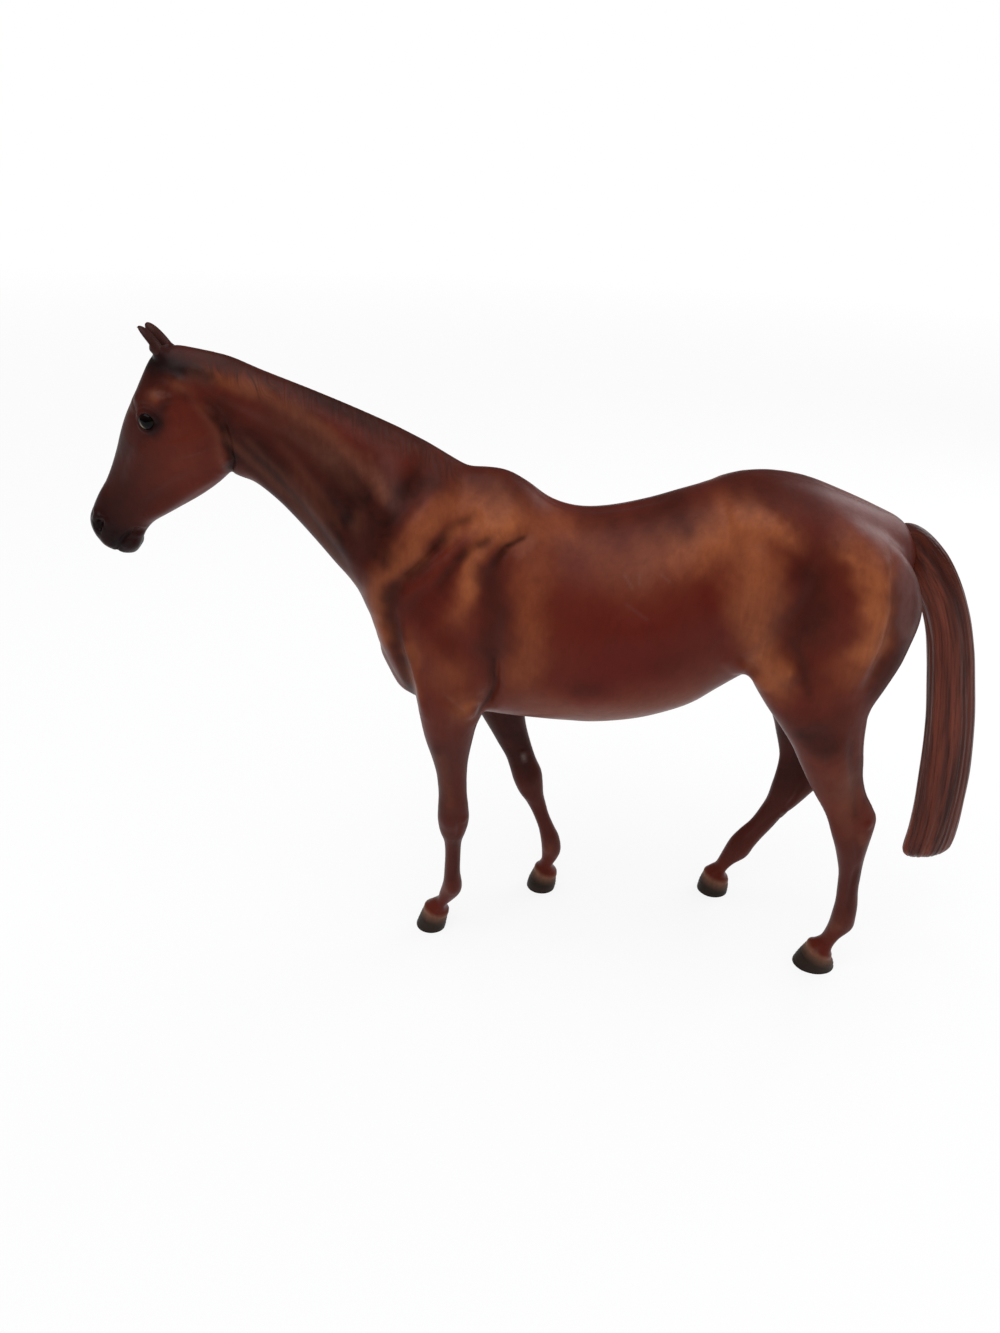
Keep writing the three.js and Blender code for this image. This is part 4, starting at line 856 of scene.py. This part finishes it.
clay.storePaints()
print("coat sprayed")

# Pieces of the skin: it is cut where the CAD's halves and legs meet
nearZero = 0.002
shades = ("shadeX", "shadeY", "shadeZ")


def everything():
    return whole.verts[:] + whole.edges[:] + whole.faces[:]


def partOf(front):
    faces = [f for f in whole.faces if (f.calc_center_median().x < split) == front]
    return list(dict.fromkeys(part for face in faces for part in (face, *face.edges, *face.verts)))


def cut(geometry, height, normal, **how):
    bmesh.ops.bisect_plane(whole, geom=geometry, plane_co=(0, 0, height), plane_no=normal, dist=nearZero, **how)


whole = bmesh.new()
whole.from_mesh(clayMesh)
split = body["jointSplit"]
upward, sideways = (0, 0, 1), (0, 1, 0)
cut(everything(), 0, upward, clear_inner=True)
cut(partOf(front=True), body["foreJoint"], upward)
cut(partOf(front=False), body["hindJoint"], upward)
cut(everything(), 0, sideways)
whole.normal_update()
keptNormal = [whole.verts.layers.float.new(name) for name in shades]
for vert in whole.verts:
    normal = vert.normal
    if vert.co.z < nearZero:
        normal = sum((face.normal for face in vert.link_faces), Vector()).normalized()
    for layer, value in zip(keptNormal, normal):
        vert[layer] = value


def pieceOf(face):
    x, y, z = face.calc_center_median()
    side = "near" if y < 0 else "off"
    if x < split and z < body["foreJoint"]:
        return side + "_fore_leg"
    if x >= split and z < body["hindJoint"]:
        return side + "_hind_leg"
    return side + "_side_casing"


def skinPieces():
    layer = whole.faces.layers.int.new("piece")
    names = ["near_side_casing", "off_side_casing", *legForms]
    for face in whole.faces:
        face[layer] = names.index(pieceOf(face))
        face.smooth = True
    made = {}
    for number, name in enumerate(names):
        bm = whole.copy()
        spare = [f for f in bm.faces if f[bm.faces.layers.int["piece"]] != number]
        bmesh.ops.delete(bm, geom=spare, context="FACES")
        caps = bmesh.ops.holes_fill(bm, edges=[e for e in bm.edges if e.is_boundary], sides=0)["faces"]
        bmesh.ops.recalc_face_normals(bm, faces=caps)
        bmesh.ops.triangulate(bm, faces=caps)
        made[name] = meshOf(bm, name)
    return made


def seamlessShade(mesh):
    # the shading of the whole skin is kept, so that the joint lines don't show
    capTurn = 0.35
    kept = np.zeros((len(mesh.vertices), 3), np.float32)
    for k, name in enumerate(shades):
        values = np.empty(len(mesh.vertices), np.float32)
        mesh.attributes[name].data.foreach_get("value", values)
        kept[:, k] = values
    corners = np.empty(len(mesh.loops), np.int32)
    mesh.loops.foreach_get("vertex_index", corners)
    normals = kept[corners]
    for face in mesh.polygons:
        if face.normal.dot(Vector(kept[corners[face.loop_start]])) < capTurn:
            face.use_smooth = False
            normals[face.loop_start:face.loop_start + face.loop_total] = 0
    mesh.normals_split_custom_set(normals.tolist())
    for name in (*shades, "piece"):
        if name in mesh.attributes:
            mesh.attributes.remove(mesh.attributes[name])


skinMeshes = skinPieces()
whole.free()
for mesh in skinMeshes.values():
    seamlessShade(mesh)
print("skin cut:", {name: len(mesh.polygons) for name, mesh in skinMeshes.items()})

tailShape = {"length": 130, "reach": 45, "width": 14, "strands": 19, "grooveDepth": 0.55, "fineDepth": 0.22,
             "sway": 1.4, "most": 0.25, "haired": (0.1, 0.28), "middles": 200}
# Tail: drop and reach of the front, drop and reach of the back, half width
tailForm = [
    [0, -0.09, 0.077, 0, 0.25], [-0.012, 0.045, 0.062, 0.067, 0.286], [0.006, 0.178, 0.1, 0.1, 0.357],
    [0.056, 0.34, 0.154, 0.19, 0.43], [0.123, 0.485, 0.208, 0.29, 0.486], [0.208, 0.62, 0.277, 0.378, 0.5],
    [0.305, 0.73, 0.354, 0.444, 0.5], [0.408, 0.82, 0.438, 0.504, 0.486], [0.5, 0.895, 0.523, 0.56, 0.464],
    [0.6, 0.96, 0.615, 0.605, 0.443], [0.7, 1.012, 0.708, 0.64, 0.43], [0.8, 1.043, 0.808, 0.675, 0.407],
    [0.88, 1.062, 0.895, 0.69, 0.357], [0.942, 1.06, 0.97, 0.69, 0.286], [0.975, 1.01, 0.992, 0.735, 0.143],
]
dock = bodyPoint(0.944, 1.825)


def tailPlace(drop, reach):
    return dock[0] + reach * tailShape["reach"], dock[1] - drop * tailShape["length"]


def tailRows():
    return [[*tailPlace(a, b), *tailPlace(c, d), half * tailShape["width"], 0, 0] for a, b, c, d, half in tailForm]


def tailHair(points, share, angle, row):
    # locks part into strands and wisps, which wander a little on the way down
    out = points - rowMiddles(row)
    out = out / np.maximum(np.linalg.norm(out, axis=1, keepdims=True), 1e-6)
    sway = tailShape["sway"] * (0.35 * np.sin(5 * share + 1.3 * np.sin(angle)) + 0.2 * np.sin(11 * share + 2 * angle))
    turn = (angle + 0.22 * sway) * tailShape["strands"]
    lock = np.abs(np.sin(turn / 4 + 0.8 * np.sin(3 * angle)))**0.6 - 0.6
    strand = np.abs(np.sin(turn / 2 + 1.2 * np.sin(2 * angle + 3 * share))) - 0.6
    wisp = np.sin(turn * 2.1 + 2 * np.sin(4 * angle + 6 * share))
    depth = tailShape["grooveDepth"] * (lock + 0.6 * strand) + tailShape["fineDepth"] * 0.5 * wisp
    return points + out * np.minimum(easy(share, *tailShape["haired"]) * depth, tailShape["most"])[:, None]


def tailHairPlace(mesh):
    co = pointsOf(mesh)
    line = rowMiddles(alongRows(tailRows(), np.linspace(0, 1, tailShape["middles"])))[:, (0, 2)]
    nearest = np.array([np.argmin(np.sum((line - point)**2, axis=1)) for point in co[:, (0, 2)]])
    way = np.gradient(line, axis=0)
    way /= np.linalg.norm(way, axis=1, keepdims=True)
    out = co[:, (0, 2)] - line[nearest]
    across = out[:, 0] * way[nearest, 1] - out[:, 1] * way[nearest, 0]
    steps = np.concatenate([[0], np.cumsum(np.linalg.norm(np.diff(line, axis=0), axis=1))])
    storeHair(mesh, np.column_stack([across, co[:, 1], steps[nearest]]) * metre)


def earCup(side):
    def carve(points, share, angle, row):
        # the side that looks forwards and out is hollowed between two rims
        toward = np.cos(angle - (math.pi - side * earShape["cupTurn"]))
        hollow = easy(toward, *earShape["cupEdge"]) * easy(share, *earShape["cupStart"])
        hollow = hollow * (1 - easy(share, *earShape["cupEnd"]))
        inward = (rowMiddles(row) - points) * earShape["cup"] + np.array(earShape["cupShift"])
        return points + inward * hollow[:, None]
    return carve


def smoothMesh(bm, name):
    for face in bm.faces:
        face.smooth = True
    return meshOf(bm, name)


def eyeBead(side):
    bm = bmesh.new()
    bmesh.ops.create_uvsphere(bm, u_segments=eye["segments"], v_segments=eye["rings"], radius=1)
    bmesh.ops.rotate(bm, cent=(0, 0, 0), matrix=Matrix.Rotation(side * math.pi / 2, 3, "X"), verts=bm.verts[:])
    layer = bm.verts.layers.float.new("fromPupil")
    white = bm.verts.layers.float.new("white")
    ahead, stretchX, stretchZ = eye["pupil"]
    ringRadius, ringWidth = eye["whiteRing"]
    ringTurn, ringSpan = eye["whiteAngle"]
    lift, liftRadius, liftPower = eye["bulge"]
    for vert in bm.verts:
        x, y, z = vert.co
        vert[layer], bulge = 1, 1
        if y * side > 0:
            away = math.hypot(x, z)
            vert[layer] = math.hypot((x + ahead) * stretchX, z * stretchZ)
            ring = max(0, 1 - abs(away - ringRadius) / ringWidth)
            vert[white] = ring * max(0, 1 - abs(math.atan2(-z, -x) - ringTurn) / ringSpan)
            bulge += lift * max(0, 1 - away / liftRadius)**liftPower
        vert.co = (x * eye["radius"], y * eye["depth"] * bulge, z * eye["radius"])
    bmesh.ops.translate(bm, vec=(eyeX, side * eye["side"], eyeZ), verts=bm.verts[:])
    return smoothMesh(bm, "eye")


tailMesh = smoothMesh(loft(tailRows(), *grids["tail"], tailHair), "tail")
tailHairPlace(tailMesh)
earMeshes = {name: smoothMesh(loft(earRows(side, earForm), *grids["ear"], earCup(side)), "ear")
             for name, side in sides.items()}
eyeMeshes = {name: eyeBead(side) for name, side in sides.items()}
print("tail, ears and eyes modelled")

# Materials


def colour(code):
    # written as on a screen, kept as light
    parts = [int(code[k:k + 2], 16) / 255 for k in (0, 2, 4)]
    return (*[c / 12.92 if c <= 0.04045 else ((c + 0.055) / 1.055)**2.4 for c in parts], 1)


class Wire:
    # one socket of a finish, which can stand in a sum
    def __init__(self, finish, socket):
        self.finish, self.socket = finish, socket

    def maths(self, operation, first, second, clamp=False):
        return self.finish.node("ShaderNodeMath", {"operation": operation, "use_clamp": clamp}, {0: first, 1: second})

    def __add__(self, other): return self.maths("ADD", self, other)
    def __radd__(self, other): return self.maths("ADD", other, self)
    def __sub__(self, other): return self.maths("SUBTRACT", self, other)
    def __rsub__(self, other): return self.maths("SUBTRACT", other, self)
    def __mul__(self, other): return self.maths("MULTIPLY", self, other)
    def __rmul__(self, other): return self.maths("MULTIPLY", other, self)

    def clamped(self):
        return self.maths("ADD", self, 0, True)


class Finish:
    # the nodes of one material or world
    def __init__(self, owner):
        self.owner = owner
        owner.use_nodes = True
        self.tree = owner.node_tree
        self.tree.nodes.clear()

    def node(self, kind, settings, inputs, output=0):
        made = self.tree.nodes.new(kind)
        for key, value in settings.items():
            setattr(made, key, value)
        for key, value in inputs.items():
            if isinstance(value, Wire):
                self.tree.links.new(value.socket, made.inputs[key])
            else:
                made.inputs[key].default_value = value
        return Wire(self, made.outputs[output])

    def place(self):
        return self.node("ShaderNodeTexCoord", {}, {}, "Object")

    def layer(self, name, output="Fac"):
        return self.node("ShaderNodeAttribute", {"attribute_name": name}, {}, output)

    def ray(self, name):
        return self.node("ShaderNodeLightPath", {}, {}, f"Is {name} Ray")

    def noise(self, scale, detail=3, roughness=0.6, stretch=(1, 1, 1), turn=0, distortion=0, place=None):
        where = self.node("ShaderNodeMapping", {}, {"Vector": place or self.place(), "Scale": stretch,
                                                    "Rotation": (0, turn, 0)})
        return self.node("ShaderNodeTexNoise", {}, {"Vector": where, "Scale": scale, "Detail": detail,
                                                    "Roughness": roughness, "Distortion": distortion}, "Fac")

    def mix(self, share, first, second):
        return self.node("ShaderNodeMix", {"data_type": "RGBA"}, {0: share, 6: first, 7: second}, 2)

    def bump(self, height, distance, strength=1, under=None):
        inputs = {"Height": height, "Distance": distance, "Strength": strength}
        if under:
            inputs["Normal"] = under
        return self.node("ShaderNodeBump", {}, inputs)

    def painted(self, shade, rough, bumps, specular):
        return self.surface("Material", self.node("ShaderNodeBsdfPrincipled", {}, {
            "Base Color": shade, "Roughness": rough.clamped(), "Normal": bumps, "Specular IOR Level": specular}))

    def surface(self, kind, shader):
        output = self.tree.nodes.new("ShaderNodeOutput" + kind)
        self.tree.links.new(shader.socket, output.inputs[0])
        return self.owner


def newMaterial(name):
    return Finish(bpy.data.materials.new(name))


coatPaint = {
    "base": "642619", "baseDeep": "521c13", "gold": "a05a36", "wine": "5a1510", "dark": "1e0906", "ink": "100a0b",
    "plum": "421f1a", "tan": "70402f", "sheen": "75524f", "hoof": "33261f", "hoofDeep": "201813",
    "coronet": "7c5643", "callus": "6e5c56", "mane": "3c160f", "maneTip": "6e3422", "crest": "3c2019",
}
coatSurface = {"roughness": 0.36, "specular": 0.09, "grain": 0.00006, "relief": 0.0004}


def coatFinish():
    f = newMaterial("sprayed chestnut coat")
    tones = {name: colour(code) for name, code in coatPaint.items()}
    hairPlace = f.layer("hairPlace", "Vector")
    cloud = f.noise(44, 4, stretch=(1, 1, 0.6))
    fleck = f.noise(420, 3, 0.65, (1, 1, 0.55))
    hairs = f.noise(900, stretch=(1, 1, 0.07), place=hairPlace)
    brush = f.noise(560, stretch=(1, 1, 0.16), turn=0.2, distortion=0.3)
    dapple = f.noise(140, turn=0.6, distortion=0.6)
    wall = f.noise(60, stretch=(1, 1, 6))
    drifts = (cloud - 0.5) * 0.6 + (dapple - 0.5) * 0.5
    mottle = drifts + (brush - 0.5) * 0.45
    shade = f.mix((0.5 + mottle * 1.2).clamped(), tones["baseDeep"], tones["base"])

    def coated(name, cover, tone=None):
        return f.mix((f.layer(name) * cover).clamped(), shade, tone or tones[name])

    shade = coated("wine", 0.85 + mottle)
    shade = coated("gold", 0.84 + mottle * 1.2)
    shade = coated("plum", 0.8 + mottle)
    shade = coated("dark", 0.88 + drifts * 1.8)
    shade = coated("tan", 0.7 + mottle * 1.6)
    # painted reflection and highlight, together with the few scuffs
    shade = coated("sheen", 0.62 + mottle)
    shade = coated("crest", 0.4 + (hairs - 0.5) * 3)
    shade = coated("mane", 1, f.mix((0.35 + (hairs - 0.5) * 3).clamped(), tones["mane"], tones["maneTip"]))
    shade = coated("ink", 0.95 + mottle * 0.5)
    shade = coated("hoof", 1, f.mix((0.5 + (wall - 0.5) * 1.8).clamped(), tones["hoofDeep"], tones["hoof"]))
    shade = coated("coronet", 0.55 + mottle)
    shade = coated("callus", 0.8)
    shade = f.mix(((fleck - 0.5) * 0.5).clamped(), shade, tones["dark"])
    rough = coatSurface["roughness"] + (cloud - 0.5) * 0.16 + (fleck - 0.5) * 0.14
    rough = rough + f.layer("mane") * 0.08 + f.layer("hoof") * 0.12 + f.layer("dark") * 0.1
    bumps = f.bump(fleck * 0.6 + brush * 0.5, coatSurface["grain"])
    bumps = f.bump(hairs * (f.layer("mane") + f.layer("crest") * 0.4), coatSurface["relief"], 0.8, bumps)
    bumps = f.bump(cloud, coatSurface["relief"], 0.5, bumps)
    return f.painted(shade, rough, bumps, coatSurface["specular"])


tailPaint = {"base": "4c1f16", "light": "7c3c2b", "dark": "220c08"}
tailSurface = {"roughness": 0.34, "specular": 0.15, "relief": 0.0004, "shadePerMetre": 260}


def tailFinish():
    f = newMaterial("painted tail hair")
    base, light, dark = (colour(code) for code in tailPaint.values())
    hairPlace = f.layer("hairPlace", "Vector")
    strands = f.noise(1100, stretch=(1, 1, 0.05), distortion=0.2, place=hairPlace)
    broad = f.noise(300, 2, 0.5, (1, 1, 0.07), distortion=0.2, place=hairPlace)
    across = f.node("ShaderNodeSeparateXYZ", {}, {0: hairPlace}, "X")
    shade = f.mix((0.45 + (broad - 0.5) * 2.6).clamped(), base, light)
    shade = f.mix(((strands - 0.5) * 2.6).clamped(), shade, dark)
    # painted shade: the tail is darker towards its rear edge
    paintedEdgeShade = (0.6 - across * tailSurface["shadePerMetre"] + (strands - 0.5) * 2).clamped()
    shade = f.mix(paintedEdgeShade * 0.45, shade, dark)
    rough = tailSurface["roughness"] + (strands - 0.5) * 0.3
    return f.painted(shade, rough, f.bump(strands, tailSurface["relief"], 0.8), tailSurface["specular"])


eyePaint = {"pupil": "020102", "iris": "120806", "rim": "0c0606", "white": "b8a68f"}
eyeSurface = {"roughness": 0.06, "specular": 0.1, "relief": 0.00001}


def eyeFinish():
    f = newMaterial("glossy eye")
    pupil, iris, rim, white = (colour(code) for code in eyePaint.values())
    away = f.layer("fromPupil")
    streak = f.noise(1400)
    shade = f.mix((away * 1.6 + (streak - 0.5) * 0.6 - 0.4).clamped(), pupil, iris)
    shade = f.mix(((away - 0.86) * 9).clamped(), shade, rim)
    shade = f.mix((f.layer("white") * 0.8).clamped(), shade, white)
    rough = eyeSurface["roughness"] + (streak - 0.5) * 0.03
    return f.painted(shade, rough, f.bump(streak, eyeSurface["relief"], 0.3), eyeSurface["specular"])


earPaint = {"deep": "2c1411", "outside": "46241e", "inside": "140a09"}
earSurface = {"roughness": 0.42, "specular": 0.1, "relief": 0.00008}


def earFinish():
    f = newMaterial("ear with dark lining")
    deep, outside, inside = (colour(code) for code in earPaint.values())
    cloud = f.noise(120)
    fleck = f.noise(700, 2)
    shade = f.mix((0.5 + (cloud - 0.5) * 1.4).clamped(), deep, outside)
    shade = f.mix(((fleck - 0.5) * 0.5).clamped(), shade, inside)
    rough = earSurface["roughness"] + (cloud - 0.5) * 0.2
    return f.painted(shade, rough, f.bump(fleck, earSurface["relief"]), earSurface["specular"])


coat, tailHairFinish, eyeGloss, earSkin = coatFinish(), tailFinish(), eyeFinish(), earFinish()
for name, mesh in skinMeshes.items():
    slotName = "leg_paint" if "leg" in name else "coat_paint"
    finishedPiece(name.replace("_", "-") + "-skin", mesh, coat, [name])
finishedPiece("tail-hair", tailMesh, tailHairFinish, ["tail"])
for name in sides:
    finishedPiece(name + "-ear-shell", earMeshes[name], earSkin, [name + "_ear"])
    finishedPiece(name + "-eye-bead", eyeMeshes[name], eyeGloss, [name + "_eye"])
print("finishes applied")

# Studio
studio = {
    "floorSize": 40.0, "floorWhite": 0.9, "floorGlow": 0.84, "glowStart": 0.25, "glowRise": 0.5,
    "worldLight": 0.55, "worldShine": 0.12, "lampColour": (0.95, 0.97, 1.0),
}
white = (1, 1, 1, 1)


def studioFloor():
    bm = bmesh.new()
    bmesh.ops.create_grid(bm, x_segments=8, y_segments=8, size=studio["floorSize"] / 2)
    floor = linked("floor", smoothMesh(bm, "floor"))
    f = newMaterial("white paper")
    seen = (f.ray("Camera") + f.ray("Glossy") + f.ray("Transmission")).clamped()
    paper = f.node("ShaderNodeBsdfDiffuse", {}, {"Color": (*[studio["floorWhite"]] * 3, 1)})
    lit = f.node("ShaderNodeEmission", {}, {"Color": white, "Strength": 1.0})
    # near the object the paper keeps its shadow, and further off it is plain white
    away = f.node("ShaderNodeVectorMath", {"operation": "LENGTH"}, {0: f.place()}, "Value")
    far = ((away - studio["glowStart"]) * studio["glowRise"]).clamped()
    bare = (studio["floorGlow"] + far * (1 - studio["floorGlow"])).clamped()
    mixed = f.node("ShaderNodeMixShader", {}, {0: seen * bare, 1: paper, 2: lit})
    floor.data.materials.append(f.surface("Material", mixed))


def areaLamp(name, place, target, power, size):
    lamp = bpy.data.lights.new(name, "AREA")
    lamp.energy, lamp.size, lamp.color = power, size, studio["lampColour"]
    holder = linked(name, lamp)
    holder.location = place
    holder.rotation_euler = (Vector(target) - Vector(place)).to_track_quat("-Z", "Y").to_euler()


def studioWorld():
    f = Finish(bpy.data.worlds.new("studio"))
    # the room is darker to the sight of a glossy surface, so that the paint keeps its depth
    light = studio["worldLight"] + f.ray("Glossy") * (studio["worldShine"] - studio["worldLight"])
    dim = f.node("ShaderNodeBackground", {}, {"Color": white, "Strength": light})
    bright = f.node("ShaderNodeBackground", {}, {"Color": white, "Strength": 1.0})
    shown = (f.ray("Camera") + f.ray("Transmission")).clamped()
    bpy.context.scene.world = f.surface("World", f.node("ShaderNodeMixShader", {}, {0: shown, 1: dim, 2: bright}))


camera = {"target": (-0.0195, 0, 0.1092), "azimuth": 0.35, "elevation": 28.42, "roll": 2.75, "distance": 0.325,
          "focal": 946, "imageHeight": 1333, "sensor": 36, "clip": (0.01, 50)}


def studioCamera():
    az, el, roll = (math.radians(camera[k]) for k in ("azimuth", "elevation", "roll"))
    ahead = Vector((-math.sin(az) * math.cos(el), math.cos(az) * math.cos(el), -math.sin(el)))
    right = ahead.cross(Vector((0, 0, 1))).normalized()
    up = right.cross(ahead)
    right, up = math.cos(roll) * right + math.sin(roll) * up, -math.sin(roll) * right + math.cos(roll) * up
    lens = bpy.data.cameras.new("camera")
    lens.sensor_width = camera["sensor"]
    lens.lens = camera["focal"] / camera["imageHeight"] * camera["sensor"]
    lens.clip_start, lens.clip_end = camera["clip"]
    holder = linked("camera", lens)
    place = Vector(camera["target"]) - ahead * camera["distance"]
    turned = Matrix((right, up, -ahead)).transposed().to_4x4()
    holder.matrix_world = Matrix.Translation(place) @ turned
    bpy.context.scene.camera = holder


studioFloor()
studioWorld()
areaLamp("key", place=(-0.15, -0.2, 1.0), target=(0, 0, 0.1), power=6.0, size=0.9)
areaLamp("rim", place=(0.6, 0.42, 0.5), target=(0.05, 0, 0.12), power=2.2, size=0.5)
studioCamera()
bpy.context.scene.view_settings.view_transform = "Standard"
print("studio set")
